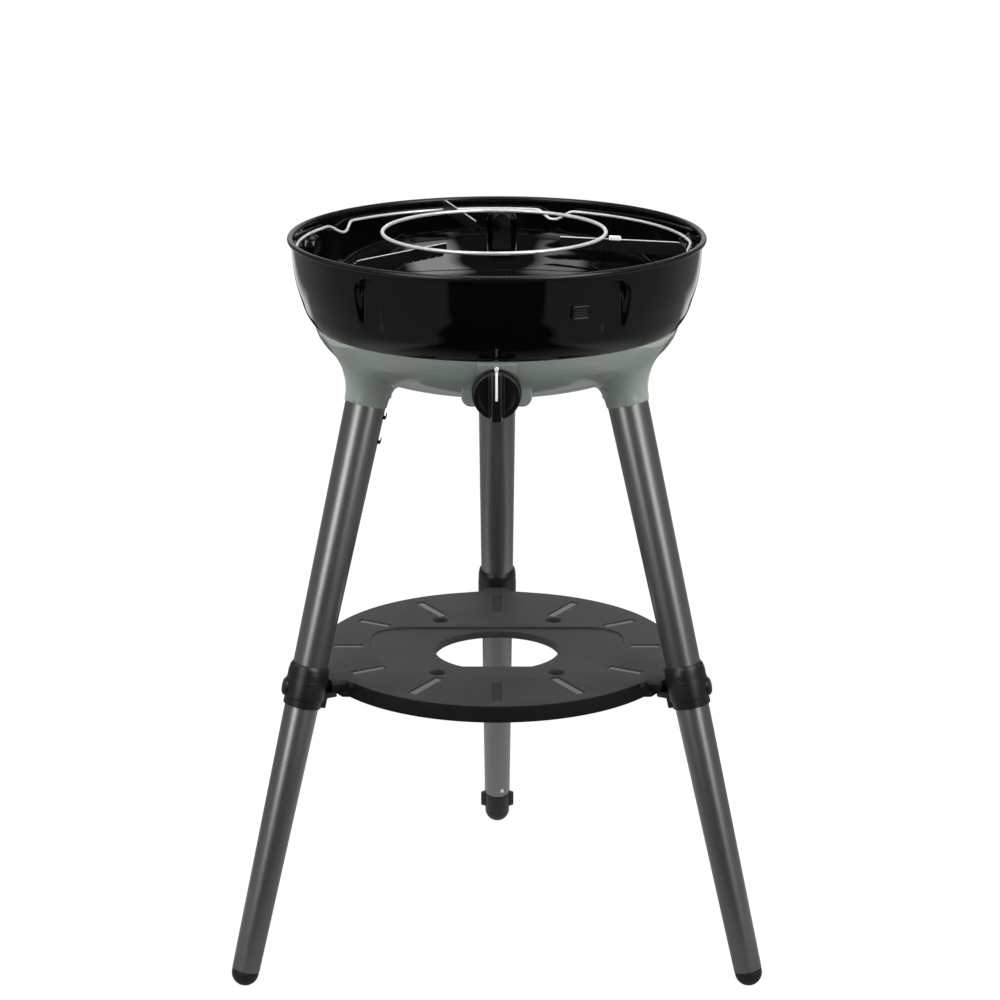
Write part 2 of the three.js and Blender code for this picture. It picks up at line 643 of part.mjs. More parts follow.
function knobBody() {
  const profile = [
    [0, -KNOB_BACK],
    [KNOB_RADIUS - 0.6, -KNOB_BACK],
    [KNOB_RADIUS, -KNOB_BACK + 2],
    [KNOB_RADIUS, -KNOB_FACE - 1.2],
    [KNOB_RADIUS - 1.2, -KNOB_FACE],
    [0, -KNOB_FACE],
  ];
  const knobDisc = facingFront(turned(profile, 24), KNOB_HEIGHT);
  const side = new THREE.Shape([
    point(-GRIP_BASE_HALF, KNOB_FACE + 1),
    point(-GRIP_FACE_HALF, GRIP_FACE),
    point(GRIP_FACE_HALF, GRIP_FACE),
    point(GRIP_BASE_HALF, KNOB_FACE + 1),
  ]);
  const bar = raised(side, KNOB_HEIGHT - KNOB_RADIUS, KNOB_HEIGHT + KNOB_RADIUS);
  const stemFront = -KNOB_FACE - STEM_COVER;
  const bore = facingFront(disc(STEM_RADIUS + GAP, SEAT_FRONT, stemFront, 12), KNOB_HEIGHT);
  const body = join(knobDisc, bar);
  return cut(body, bore, pointerStrip(POINTER_HALF + GAP, POINTER_DEPTH, 5, GAP));
}

// An angled strip that runs up the grip bar's face and back over the top of the knob.
function pointerStrip(half, depth, proud, extra) {
  const crown = KNOB_HEIGHT + KNOB_RADIUS;
  const front = GRIP_FACE - proud;
  const low = KNOB_HEIGHT - POINTER_DROP - extra;
  const overFace = box([-half, half], [front, GRIP_FACE + depth], [low, crown + proud]);
  const overTop = box([-half, half], [front, POINTER_BACK + extra], [crown - depth, crown + proud]);
  return join(overFace, overTop);
}

function knobPointer() {
  return pointerStrip(POINTER_HALF, POINTER_DEPTH - GAP, 0.15, 0);
}

function valveStem() {
  const rod = disc(STEM_RADIUS, STEM_END, -KNOB_FACE - STEM_COVER - GAP, 12);
  return facingFront(rod, KNOB_HEIGHT);
}

function springSeat() {
  const ring = tube(SEAT_RADIUS, STEM_RADIUS + GAP, SEAT_FRONT - SEAT_THICKNESS, SEAT_FRONT, 12);
  return facingFront(ring, KNOB_HEIGHT);
}

// A wire wound round +Z between two heights.
function coilSpring(radius, wire, bottom, top, turns) {
  class Helix extends THREE.Curve {
    getPoint(t, target = new THREE.Vector3()) {
      const angle = 2 * Math.PI * turns * t;
      const height = bottom + wire + (top - bottom - 2 * wire) * t;
      return target.set(radius * Math.cos(angle), radius * Math.sin(angle), height);
    }
  }
  const section = new THREE.Shape();
  for (let corner = 0; corner < 5; corner += 1) {
    const [x, y] = polar(wire, corner * 72);
    if (corner === 0) section.moveTo(x, y);
    else section.lineTo(x, y);
  }
  const options = { steps: turns * 10, bevelEnabled: false, extrudePath: new Helix() };
  return toSolid(new THREE.ExtrudeGeometry(section, options));
}

// ---------------------------------------------------------------- shelf
const SLOT_INNER = [166, 157, 136, 136]; // by their distance from the sideways line, in steps of 30 degrees
const SLOT_OUTER = 202;
const SLOT_HALF_WIDTH = 6;
const SLOT_DEPTH = 1.2;
const RECESS_HALF_WIDTH = 158;
const RECESS_FRONT = -16;
const RECESS_BACK = 73;
const RECESS_DEPTH = 2.5; // at the back; the sunken area slopes up to nothing at its front
const LUG_HALF_WIDTH = 15;
const LUG_END = 243;
const HOOK_TIP = 228; // from the bowl's axis to the tip of the collar's hook under a lug
const LUG_ROOT_HALF_WIDTH = 38;
const SHELF_HOLES = [[72, 100], [-72, 100], [72, -100], [-72, -100]];
const HOLE_RADIUS = 10;
const BOSS_RADIUS = 12.5;
const ABOVE_SHELF = SHELF_TOP + 5; // cutting tools that open upwards reach this high

// An arm that flares into the shelf's edge on both sides and ends in front of a leg.
function shelfLug() {
  const outline = new THREE.Shape();
  const [inner, root, neck] = [SHELF_RADIUS - 20, SHELF_RADIUS - 6.5, SHELF_RADIUS + 6];
  const flare = LUG_HALF_WIDTH + 3;
  outline.moveTo(inner, -LUG_ROOT_HALF_WIDTH - 2);
  outline.lineTo(root, -LUG_ROOT_HALF_WIDTH);
  outline.quadraticCurveTo(SHELF_RADIUS - 2, -flare, neck, -LUG_HALF_WIDTH);
  outline.lineTo(LUG_END, -LUG_HALF_WIDTH);
  outline.lineTo(LUG_END, LUG_HALF_WIDTH);
  outline.lineTo(neck, LUG_HALF_WIDTH);
  outline.quadraticCurveTo(SHELF_RADIUS - 2, flare, root, LUG_ROOT_HALF_WIDTH);
  outline.lineTo(inner, LUG_ROOT_HALF_WIDTH + 2);
  return raised(outline, SHELF_TOP - SHELF_LUG_DEPTH, SHELF_TOP, 4);
}

// The thicker block under a lug, which ends in front of the collar's hook.
function lugApron() {
  const [inner, outer, half] = [SHELF_RADIUS - 6, HOOK_TIP - 1, LUG_HALF_WIDTH + 6];
  return box([inner, outer], [-half, half], [SHELF_TOP - SHELF_DEPTH, SHELF_TOP - SHELF_PLATE]);
}

function sunkenArea() {
  const [front, back, half, corner] = [RECESS_FRONT, RECESS_BACK, RECESS_HALF_WIDTH, 66];
  const outline = new THREE.Shape();
  outline.moveTo(-half, front);
  outline.lineTo(half, front);
  outline.lineTo(half, back - corner);
  outline.absarc(half - corner, back - corner, corner, 0, Math.PI / 2);
  outline.lineTo(-half + corner, back);
  outline.absarc(-half + corner, back - corner, corner, Math.PI / 2, Math.PI);
  const side = new THREE.Shape([
    point(front, SHELF_TOP),
    point(back, SHELF_TOP - RECESS_DEPTH),
    point(back, ABOVE_SHELF),
    point(front, ABOVE_SHELF),
  ]);
  const wedge = raised(side, -half, half).rotate([90, 0, 90]);
  return raised(outline, SHELF_TOP - RECESS_DEPTH, ABOVE_SHELF, 4).intersect(wedge);
}

function shelfHole() {
  const outline = new THREE.Shape();
  const [radius, centre, front] = [76.6, -14, -78];
  const half = Math.acos((centre - front) / radius);
  outline.absarc(0, centre, radius, -Math.PI / 2 + half, Math.PI * 1.5 - half);
  return outline;
}

function legClearance(radius) {
  const spaces = Object.values(LEG_AZIMUTHS).map((azimuth) => {
    return inLegFrame(disc(radius, SHELF_TOP - 60, SHELF_TOP + 60, 16), azimuth);
  });
  return join(...spaces);
}

function shelf() {
  const plateBottom = SHELF_TOP - SHELF_PLATE;
  const skirtBottom = SHELF_TOP - SHELF_DEPTH;
  const plate = disc(SHELF_RADIUS, plateBottom, SHELF_TOP, 40);
  const skirt = tube(SHELF_RADIUS, SHELF_RADIUS - 3.5, skirtBottom, plateBottom + 1, 40);
  const lugs = Object.values(LEG_AZIMUTHS).map((azimuth) => shelfLug().rotate([0, 0, azimuth]));
  const holeOutline = shelfHole();
  const flange = raised(holeOutline, SHELF_TOP - 11, plateBottom + 1, 10).scale([1.035, 1.035, 1]);
  const bosses = [];
  const holes = [];
  for (const [x, y] of SHELF_HOLES) {
    bosses.push(disc(BOSS_RADIUS, SHELF_TOP - 14, plateBottom + 1, 10).translate([x, y, 0]));
    holes.push(disc(HOLE_RADIUS, skirtBottom, ABOVE_SHELF, 10).translate([x, y, 0]));
  }
  const slots = [];
  for (let step = 0; step < 12; step += 1) {
    const inner = SLOT_INNER[Math.min(step % 6, 6 - (step % 6))];
    const width = [-SLOT_HALF_WIDTH, SLOT_HALF_WIDTH];
    const slot = box([inner, SLOT_OUTER], width, [SHELF_TOP - SLOT_DEPTH, ABOVE_SHELF]);
    slots.push(slot.rotate([0, 0, step * 30]));
  }
  const aprons = Object.values(LEG_AZIMUTHS).map((azimuth) => lugApron().rotate([0, 0, azimuth]));
  const solid = join(plate, skirt, ...lugs, ...aprons, flange, ...bosses);
  const opening = raised(holeOutline, skirtBottom, ABOVE_SHELF, 10);
  return cut(solid, opening, ...holes, sunkenArea(), ...slots, legClearance(COLLAR_RADIUS + 0.6));
}

// ---------------------------------------------------------------- legs
function taperedTube(bottom, top) {
  return turned([
    [legRadius(bottom), bottom],
    [legRadius(top), top],
    [legRadius(top) - TUBE_WALL, top],
    [legRadius(bottom) - TUBE_WALL, bottom],
  ], 16);
}

const RIVET_PLACE = 58; // along the rear leg
const RIVET_TURN = 202; // round the rear leg, from the side that faces away from the bowl
const RIVET_SHANK = 1.8;
const NOSE_RADIUS = 3.5;
const NOSE_END = 15;
const BUTTON_BACK = BUTTON_FACE - 2.8;

function noseHole(turn) {
  return facingOut(disc(NOSE_RADIUS + 0.4, 0, 60, 10), BUTTON_HEIGHT).rotate([0, 0, turn]);
}

function upperLeg(turn) {
  const screwHole = facingOut(disc(SCREW_HOLE, -60, 0, 8), SOCKET_SCREW);
  return cut(taperedTube(TUBE_JOINT, TUBE_TOP), noseHole(turn), screwHole);
}

function frontLowerLeg() {
  return taperedTube(FRONT_TUBE_END, TUBE_JOINT - GAP);
}

function rearLowerLeg() {
  const hole = facingOut(disc(RIVET_SHANK + GAP, 0, 60, 8), RIVET_PLACE).rotate([0, 0, RIVET_TURN]);
  return cut(taperedTube(REAR_TUBE_END, TUBE_JOINT - GAP), hole);
}

function guideSleeve(turn) {
  const sleeve = tube(SLEEVE_RADIUS, SLEEVE_RADIUS - SLEEVE_WALL, SLEEVE_BOTTOM, SLEEVE_TOP, 16);
  const keyway = box([0, 30], [-4.5, 4.5], [BUTTON_HEIGHT - 9, SLEEVE_TOP + 5]);
  return cut(sleeve, keyway.rotate([0, 0, turn]));
}

const HOOK_ROOT = 245;

function legCollar(turn) {
  const bore = (along) => legRadius(along) + GAP;
  const body = turned([
    [22.9, COLLAR_BOTTOM],
    [22.9, 367],
    [COLLAR_RADIUS, 368],
    [COLLAR_RADIUS, 389],
    [24.4, 390],
    [24.2, 401],
    [22.1, COLLAR_TOP],
    [bore(COLLAR_TOP), COLLAR_TOP],
    [bore(COLLAR_BOTTOM), COLLAR_BOTTOM],
  ], 16);
  const boss = facingOut(disc(BUTTON_RADIUS + 2, 18, 25.8, 12), BUTTON_HEIGHT).rotate([0, 0, turn]);
  const hookTop = SHELF_TOP - SHELF_LUG_DEPTH - GAP;
  const hookSpan = [HOOK_TIP - LEG_FOOT_RADIUS, HOOK_ROOT - LEG_FOOT_RADIUS];
  const hook = box(hookSpan, [-12, 12], [hookTop - 7, hookTop]).rotate([0, LEG_SPLAY / DEGREE, 0]);
  const innerBore = disc(bore(COLLAR_TOP), SLEEVE_BOTTOM, SLEEVE_TOP, 16);
  const pocketFloor = BUTTON_BACK - BUTTON_TRAVEL - GAP;
  const pocket = facingOut(disc(BUTTON_RADIUS + GAP, pocketFloor, 40, 12), BUTTON_HEIGHT);
  const bossAndHook = cut(join(boss, hook), innerBore);
  return cut(join(body, bossAndHook), noseHole(turn), pocket.rotate([0, 0, turn]));
}

function collarButton() {
  const cap = turned([
    [0, BUTTON_BACK],
    [BUTTON_RADIUS, BUTTON_BACK],
    [BUTTON_RADIUS, BUTTON_FACE - 1.4],
    [BUTTON_RADIUS - 2.2, BUTTON_FACE - 0.3],
    [0, BUTTON_FACE],
  ], 12);
  const nose = disc(NOSE_RADIUS, NOSE_END, BUTTON_BACK + 1, 10);
  return facingOut(join(cap, nose), BUTTON_HEIGHT);
}

// A bent strip that spans the sleeve behind the button's nose.
function buttonSpring() {
  const front = NOSE_END - BUTTON_TRAVEL - GAP;
  const back = -(SLEEVE_RADIUS - SLEEVE_WALL - 0.9);
  const strip = new THREE.Shape([
    point(front, BUTTON_HEIGHT - 4),
    point(front, BUTTON_HEIGHT + 4),
    point(back, BUTTON_HEIGHT + 26),
    point(back, BUTTON_HEIGHT + 24),
    point(front - 1, BUTTON_HEIGHT + 2.8),
    point(front - 1, BUTTON_HEIGHT - 2.8),
    point(back, BUTTON_HEIGHT - 24),
    point(back, BUTTON_HEIGHT - 26),
  ]);
  return raised(strip, -2.5, 2.5).rotate([90, 0, 0]);
}

// The round end of a foot, from its sole at the ground to its equator, as [radius, along] pairs.
function footDome(equator) {
  const dome = [[0, FOOT_CENTRE - FOOT_RADIUS]];
  for (let turn = -72; turn <= 0; turn += 18) {
    const [r, h] = polar(FOOT_RADIUS, turn);
    dome.push([r, FOOT_CENTRE + h]);
  }
  dome.push([FOOT_RADIUS + 0.1, equator]);
  return dome;
}

// Trims a foot level with the ground, which leaves a small flat sole.
function levelSole(foot) {
  const ground = box([-60, 60], [-60, 60], [-60, 0]);
  return cut(foot, ground.rotate([0, LEG_SPLAY / DEGREE, 0]));
}

function frontFoot() {
  const plug = legRadius(FRONT_TUBE_END) - TUBE_WALL - GAP;
  const top = FRONT_TUBE_END - GAP;
  return levelSole(turned([...footDome(top), [plug, top], [plug, top + 25], [0, top + 25]], 16));
}

function rearFoot() {
  const rim = legRadius(REAR_TUBE_END);
  const plug = rim - TUBE_WALL - GAP;
  const top = REAR_TUBE_END - GAP;
  const plugTop = top + 45;
  const plugEnd = [[plug, top], [plug, plugTop], [0, plugTop]];
  const body = turned([...footDome(FOOT_CENTRE + 4), [rim, top], ...plugEnd], 16);
  const wing = new THREE.Shape([
    point(0, top - 25),
    point(22.5, top - 22),
    point(22.5, top - 2.5),
    point(0, top),
  ]);
  const wingSolid = raised(wing, -3.5, 3.5).rotate([90, 0, 90]);
  return levelSole(join(body, wingSolid, wingSolid.rotate([0, 0, 180])));
}

// ---------------------------------------------------------------- small fittings
const HOOK_PLACES = [720, 690]; // along the left leg
const HOOK_TURN = 150; // round the left leg, from the side that faces away from the bowl

const HOOK_DEPTH = 3.2;
const HOOK_HALF_WIDTH = 3;
const HOOK_HALF_LENGTH = 4;
const BADGE_RADIUS = 242.8; // back of the badge to the bowl's axis
const BADGE_AZIMUTH = -67;
const BADGE_HEIGHT = 847.3;
const BADGE_TILT = 0.16;
const BADGE_HALF_WIDTH = 11.5;
const BADGE_HALF_HEIGHT = 8.8;
const BADGE_THICKNESS = 1.4;

function legHook() {
  const width = [-HOOK_HALF_WIDTH, HOOK_HALF_WIDTH];
  return box([0, HOOK_DEPTH], width, [-HOOK_HALF_LENGTH, HOOK_HALF_LENGTH]);
}

function blankBadge() {
  const outline = roundedRectangle(
    -BADGE_HALF_WIDTH, BADGE_HALF_WIDTH, -BADGE_HALF_HEIGHT, BADGE_HALF_HEIGHT, 2.5);
  return raised(outline, 0, BADGE_THICKNESS, 3).rotate([90, 0, 90]);
}

// ---------------------------------------------------------------- building the object
addPiece("fire_bowl", fireBowl(), BLACK_ENAMEL);
addPiece("base_housing", baseHousing(), GREY_MOULDING);
addPiece("control_pod", controlPod(), GREY_MOULDING);
addPiece("knob_bezel", knobBezel(), BLACK_PLASTIC);
addPiece("index_dot", indexDot(), WHITE_INLAY);
addPiece("knob", knobBody(), BLACK_PLASTIC);
addPiece("knob_pointer", knobPointer(), WHITE_INLAY);
addPiece("valve_stem", valveStem(), BRASS);
addPiece("spring_seat", springSeat(), PLAIN_STEEL);
const knobSpring = facingFront(
  coilSpring(7, 0.7, SPRING_STOP + GAP, SEAT_FRONT - SEAT_THICKNESS - KNOB_TRAVEL - GAP, 3), KNOB_HEIGHT);
addPiece("knob_spring", knobSpring, PLAIN_STEEL);
addPiece("valve_body", valveBody(), BRASS);
addPiece("gas_jet", gasJet(), BRASS);
addPiece("gas_inlet", gasInlet(), BRASS);
addPiece("venturi_tube", venturiTube(), PLAIN_STEEL);
addPiece("burner_head", burnerHead(), CAST_ALUMINIUM);
addPiece("burner_cap", burnerCap(), PLAIN_STEEL);
addPiece("burner_bracket", burnerBracket(), PLAIN_STEEL);
addPiece("electrode_insulator", sparkElectrode(), CERAMIC);
addPiece("electrode_tip", sparkTip(), PLAIN_STEEL);

for (const [index, azimuth] of BOWL_SCREW_AZIMUTHS.entries()) {
  const screw = panScrew(5, 3, SCREW_HOLE - GAP, 20, 8);
  const [x, y] = polar(BOWL_SCREW_RADIUS, azimuth);
  const mesh = addPiece(`bowl_screw_${index + 1}`, screw, PLAIN_STEEL);
  mesh.position.set(x, y, BOWL_FLOOR + BOWL_WALL + GAP);
}

const badge = addPiece("bowl_badge", blankBadge(), BLACK_ENAMEL);
badge.position.set(...polar(BADGE_RADIUS, BADGE_AZIMUTH), BADGE_HEIGHT);
badge.rotation.set(0, BADGE_TILT, BADGE_AZIMUTH * DEGREE, "ZYX");

const panSupport = new THREE.Group();
panSupport.position.x = SUPPORT_OFFSET;
model.add(panSupport);
addPiece("support_outer_ring", outerRing(), BRIGHT_WIRE, panSupport);
addPiece("support_inner_ring", innerRing(), BRIGHT_WIRE, panSupport);
for (const [side, azimuth] of Object.entries(PLATE_AZIMUTHS)) {
  const plate = addPiece(`support_plate_${side}`, supportPlate(), PLAIN_STEEL, panSupport);
  plate.rotation.z = azimuth * DEGREE;
}
const tab = addPiece("support_tab", supportTab(), BRIGHT_WIRE, panSupport);
tab.rotation.z = PLATE_AZIMUTHS.right * DEGREE;

addPiece("shelf", shelf(), SHELF_PLASTIC);

for (const [side, azimuth] of Object.entries(LEG_AZIMUTHS)) {
  const frame = legFrame(azimuth);
  const isRear = side === "rear";
  const turn = BUTTON_TURNS[side];
  addPiece(`upper_leg_${side}`, upperLeg(turn), TUBE_METAL, frame);
  addPiece(`lower_leg_${side}`, isRear ? rearLowerLeg() : frontLowerLeg(), TUBE_METAL, frame);
  addPiece(`guide_sleeve_${side}`, guideSleeve(turn), BLACK_PLASTIC, frame);
  addPiece(`leg_collar_${side}`, legCollar(turn), BLACK_PLASTIC, frame);
  const button = addPiece(`collar_button_${side}`, collarButton(), BLACK_PLASTIC, frame);
  const spring = addPiece(`button_spring_${side}`, buttonSpring(), PLAIN_STEEL, frame);
  button.rotation.z = spring.rotation.z = turn * DEGREE;
  addPiece(`foot_${side}`, isRear ? rearFoot() : frontFoot(), BLACK_PLASTIC, frame);
  const screw = panScrew(4.5, 2.5, SCREW_HOLE - GAP, 9, 8);
  const socketScrew = addPiece(`socket_screw_${side}`, screw, PLAIN_STEEL, frame);
  socketScrew.position.set(-SCREW_SEAT, 0, SOCKET_SCREW);
  socketScrew.rotation.y = -Math.PI / 2;
  if (side === "left") {
    for (const [index, along] of HOOK_PLACES.entries()) {
      const hook = addPiece(`leg_hook_${index + 1}`, legHook(), BLACK_PLASTIC, frame);
      hook.position.set(...polar(legRadius(along) + GAP, HOOK_TURN), along);
      hook.rotation.z = HOOK_TURN * DEGREE;
    }
  }
  if (isRear) {
    const rivet = addPiece("foot_rivet", panScrew(2.8, 1.6, RIVET_SHANK, 1.4), BRIGHT_WIRE, frame);
    rivet.position.set(...polar(legRadius(RIVET_PLACE) + GAP, RIVET_TURN), RIVET_PLACE);
    rivet.rotation.set(0, Math.PI / 2, RIVET_TURN * DEGREE, "ZYX");
  }
}

export default grill;
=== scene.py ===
"""Looks of a portable round gas barbecue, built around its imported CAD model.

Shapes are made in millimetres about the fire bowl's axis, or about a leg's axis, and are placed in the
shared frame in metres.
"""

import json
import math

import bmesh
import bpy
import numpy as np
from mathutils import Matrix, Vector


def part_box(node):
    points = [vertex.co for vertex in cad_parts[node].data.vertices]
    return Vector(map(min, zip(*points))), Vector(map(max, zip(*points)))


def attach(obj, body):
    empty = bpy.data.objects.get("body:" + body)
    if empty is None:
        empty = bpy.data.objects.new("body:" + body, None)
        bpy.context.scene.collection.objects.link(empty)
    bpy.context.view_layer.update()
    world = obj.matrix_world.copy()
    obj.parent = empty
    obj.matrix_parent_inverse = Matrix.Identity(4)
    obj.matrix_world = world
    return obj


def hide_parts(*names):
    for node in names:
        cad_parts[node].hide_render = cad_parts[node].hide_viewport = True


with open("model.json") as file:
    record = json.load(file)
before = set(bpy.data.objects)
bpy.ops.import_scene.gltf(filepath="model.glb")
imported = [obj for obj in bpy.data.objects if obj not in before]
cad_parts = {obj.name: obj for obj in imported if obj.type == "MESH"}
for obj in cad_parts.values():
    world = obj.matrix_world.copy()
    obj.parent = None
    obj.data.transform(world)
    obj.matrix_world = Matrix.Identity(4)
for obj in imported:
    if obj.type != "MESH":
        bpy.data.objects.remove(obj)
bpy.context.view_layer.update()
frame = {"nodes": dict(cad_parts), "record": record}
scene = bpy.context.scene

# ---------- shared sizes, as in the CAD model
MM = 0.001
bowl_low, bowl_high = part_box("fire_bowl")
AXIS_Y = (bowl_low.y + bowl_high.y) / 2
LEG_AZIMUTHS = {"rear": 90, "left": 210, "right": 330}
LEG_FOOT_RADIUS = 357.7
LEG_SLOPE = 0.2524  # how far a leg leans for each unit of height
LEG_SPLAY = math.atan(LEG_SLOPE)
LEG_BASE_RADIUS = 16.65
LEG_TAPER = 0.0104
TUBE_JOINT = 371.5
SHELF_TOP = 375
KNOB_HEIGHT = 752.6
JOINT_HEIGHT = 789

BOWL_FRAME = Matrix.Translation((0, AXIS_Y, 0)) @ Matrix.Diagonal((MM, MM, MM, 1))


def leg_frame(azimuth):
    """+Z runs up the leg from the ground and +X points away from the bowl."""
    turn = math.radians(azimuth)
    foot = Vector((math.cos(turn), math.sin(turn), 0)) * LEG_FOOT_RADIUS
    return (
        BOWL_FRAME
        @ Matrix.Translation(foot)
        @ Matrix.Rotation(turn, 4, "Z")
        @ Matrix.Rotation(-LEG_SPLAY, 4, "Y")
    )


def leg_radius(along):
    """The tubes' outer radius at a length along the leg."""
    return LEG_BASE_RADIUS + LEG_TAPER * along


def turned_about_z(degrees):
    return Matrix.Rotation(math.radians(degrees), 4, "Z")


def facing_out(degrees, radius, height):
    """A place at a distance from the Z axis, with +X pointing away from the axis."""
    turn = math.radians(degrees)
    there = (radius * math.cos(turn), radius * math.sin(turn), height)
    return Matrix.Translation(there) @ turned_about_z(degrees)


# these stand an outline up: in the XZ plane, or in the YZ plane
UPRIGHT = Matrix.Rotation(math.pi / 2, 4, "X")
ACROSS = Matrix(((0, 0, 1, 0), (1, 0, 0, 0), (0, 1, 0, 0), (0, 0, 0, 1)))
# this lays a shape made along Z out along X
OUTWARD = Matrix.Rotation(math.pi / 2, 4, "Y")
# and this turns the knob's shapes, made along Z, to face the front
FACING_FRONT = Matrix.Translation((0, 0, KNOB_HEIGHT)) @ UPRIGHT
KNOB_FRAME = BOWL_FRAME @ FACING_FRONT


# ---------- node materials
class Nodes:
    """A material's node tree with short calls to add and join nodes."""

    def __init__(self, name):
        self.material = bpy.data.materials.new(name)
        self.material.use_nodes = True
        self.tree = self.material.node_tree
        self.shader = self.tree.nodes["Principled BSDF"]

    def add(self, kind, inputs=None, **settings):
        node = self.tree.nodes.new(kind)
        for key, value in settings.items():
            setattr(node, key, value)
        for key, value in (inputs or {}).items():
            self.join(value, node.inputs[key])
        return node

    def join(self, value, socket):
        if isinstance(value, bpy.types.NodeSocket):
            self.tree.links.new(value, socket)
        else:
            socket.default_value = value

    def set(self, **inputs):
        for key, value in inputs.items():
            self.join(value, self.shader.inputs[key.replace("_", " ")])

    def place(self, scale=(1, 1, 1)):
        """Places on the piece in metres, so that a pattern moves with its piece."""
        coordinates = self.add("ShaderNodeTexCoord").outputs["Object"]
        return self.add("ShaderNodeMapping", {"Vector": coordinates, "Scale": scale}).outputs[0]

    def place_parts(self):
        """The same places as single numbers, by the names X, Y and Z."""
        coordinates = self.add("ShaderNodeTexCoord").outputs["Object"]
        return self.add("ShaderNodeSeparateXYZ", {"Vector": coordinates}).outputs

    def noise(self, scale, detail=3.0, roughness=0.5, stretch=(1, 1, 1)):
        inputs = {"Vector": self.place(stretch), "Scale": scale, "Detail": detail, "Roughness": roughness}
        return self.add("ShaderNodeTexNoise", inputs).outputs["Fac"]

    def cells(self, scale):
        return self.add("ShaderNodeTexVoronoi", {"Vector": self.place(), "Scale": scale}).outputs["Distance"]

    def glowing(self, strength, colour=(1, 1, 1), roughness=1.0):
        """A surface that only sends out light."""
        self.set(
            Base_Color=(0, 0, 0, 1), Roughness=roughness, Specular_IOR_Level=0.0,
            Emission_Color=(*colour, 1), Emission_Strength=strength)
        return self.material

    def ramp(self, value, low, high, to_low, to_high):
        inputs = {"Value": value, "From Min": low, "From Max": high, "To Min": to_low, "To Max": to_high}
        return self.add("ShaderNodeMapRange", inputs).outputs[0]

    def mix(self, factor, first, second):
        node = self.add("ShaderNodeMix", data_type="RGBA")
        self.join(factor, node.inputs["Factor"])
        for socket, colour in (("A", first), ("B", second)):
            self.join((*colour, 1) if isinstance(colour, tuple) else colour, node.inputs[socket])
        return node.outputs["Result"]

    def math(self, operation, first, second):
        node = self.add("ShaderNodeMath", operation=operation)
        self.join(first, node.inputs[0])
        self.join(second, node.inputs[1])
        return node.outputs[0]

    def bump(self, height, strength, distance, normal=None):
        inputs = {"Height": height, "Strength": strength, "Distance": distance}
        if normal is not None:
            inputs["Normal"] = normal
        return self.add("ShaderNodeBump", inputs).outputs[0]

    def edge_wear(self, low=0.52, high=0.62):
        """1 on sharp outside edges and 0 elsewhere: the mask of a painted highlight along edges."""
        point = self.add("ShaderNodeNewGeometry").outputs["Pointiness"]
        return self.ramp(point, low, high, 0.0, 1.0)


def enamel(name, smooth, dusty):
    m = Nodes(name)
    waves = m.noise(60, 2.0)
    specks = m.noise(2600, 2.0)
    dust = m.ramp(m.noise(340, 6.0, 0.7), 0.55, 0.8, 0.0, 1.0)
    m.set(
        Base_Color=m.mix(dust, (0.0016, 0.0016, 0.0017), (0.004, 0.004, 0.004)),
        Roughness=m.ramp(dust, 0, 1, smooth, dusty),
        Normal=m.bump(specks, 0.006, 0.001, m.bump(waves, 0.02, 0.002)),
    )
    return m.material


def moulding():
    m = Nodes("grey_moulding")
    grain = m.noise(1500, 4.0, 0.6)
    clouds = m.noise(14, 2.0)
    colour = m.mix(clouds, (0.25, 0.292, 0.258), (0.272, 0.315, 0.28))
    m.set(
        # lighter on sharp edges: a painted highlight where the edges catch the light
        Base_Color=m.mix(m.edge_wear(), colour, (0.34, 0.38, 0.345)),
        Roughness=m.ramp(grain, 0.3, 0.7, 0.3, 0.4),
        Coat_Weight=0.9,
        Coat_Roughness=0.09,
        Normal=m.bump(grain, 0.05, 0.0004),
    )
    return m.material


def tube_metal():
    m = Nodes("tube_metal")
    flakes = m.cells(2200)
    lines = m.noise(900, 3.0, 0.6, (1, 1, 0.02))
    colour = m.mix(m.noise(9, 2.0), (0.235, 0.238, 0.23), (0.27, 0.272, 0.264))
    m.set(
        Base_Color=m.mix(m.ramp(flakes, 0.1, 0.6, 0.3, 0.0), colour, (0.4, 0.402, 0.395)),
        Metallic=0.9,
        Roughness=m.ramp(lines, 0.3, 0.7, 0.28, 0.35),
        Normal=m.bump(lines, 0.05, 0.0003, m.bump(flakes, 0.05, 0.0002)),
    )
    return m.material


def bright_metal(name, colour, roughness, grain_scale, stretch=(1, 1, 1), metallic=0.92):
    m = Nodes(name)
    grain = m.noise(grain_scale, 4.0, 0.6, stretch)
    stains = m.noise(40, 4.0, 0.6)
    darker = tuple(0.78 * part for part in colour)
    m.set(
        Base_Color=m.mix(m.ramp(stains, 0.35, 0.75, 0.0, 1.0), colour, darker),
        Metallic=metallic,
        Roughness=m.ramp(grain, 0.3, 0.7, roughness * 0.8, roughness * 1.3),
        Normal=m.bump(grain, 0.08, 0.0003),
    )
    return m.material


def shelf_plastic():
    m = Nodes("shelf_plastic")
    pits = m.cells(560)
    grain = m.noise(1100, 5.0, 0.65)
    clouds = m.noise(7, 3.0)
    texture = m.math("ADD", m.math("MULTIPLY", pits, 0.7), m.math("MULTIPLY", grain, 0.5))
    colour = m.mix(clouds, (0.0165, 0.0165, 0.0175), (0.0215, 0.0215, 0.0228))
    m.set(
        Base_Color=m.mix(m.ramp(grain, 0.4, 0.75, 0.0, 0.55), colour, (0.044, 0.044, 0.047)),
        Roughness=m.ramp(grain, 0.3, 0.7, 0.5, 0.62),
        Normal=m.bump(texture, 0.6, 0.0008),
    )
    return m.material


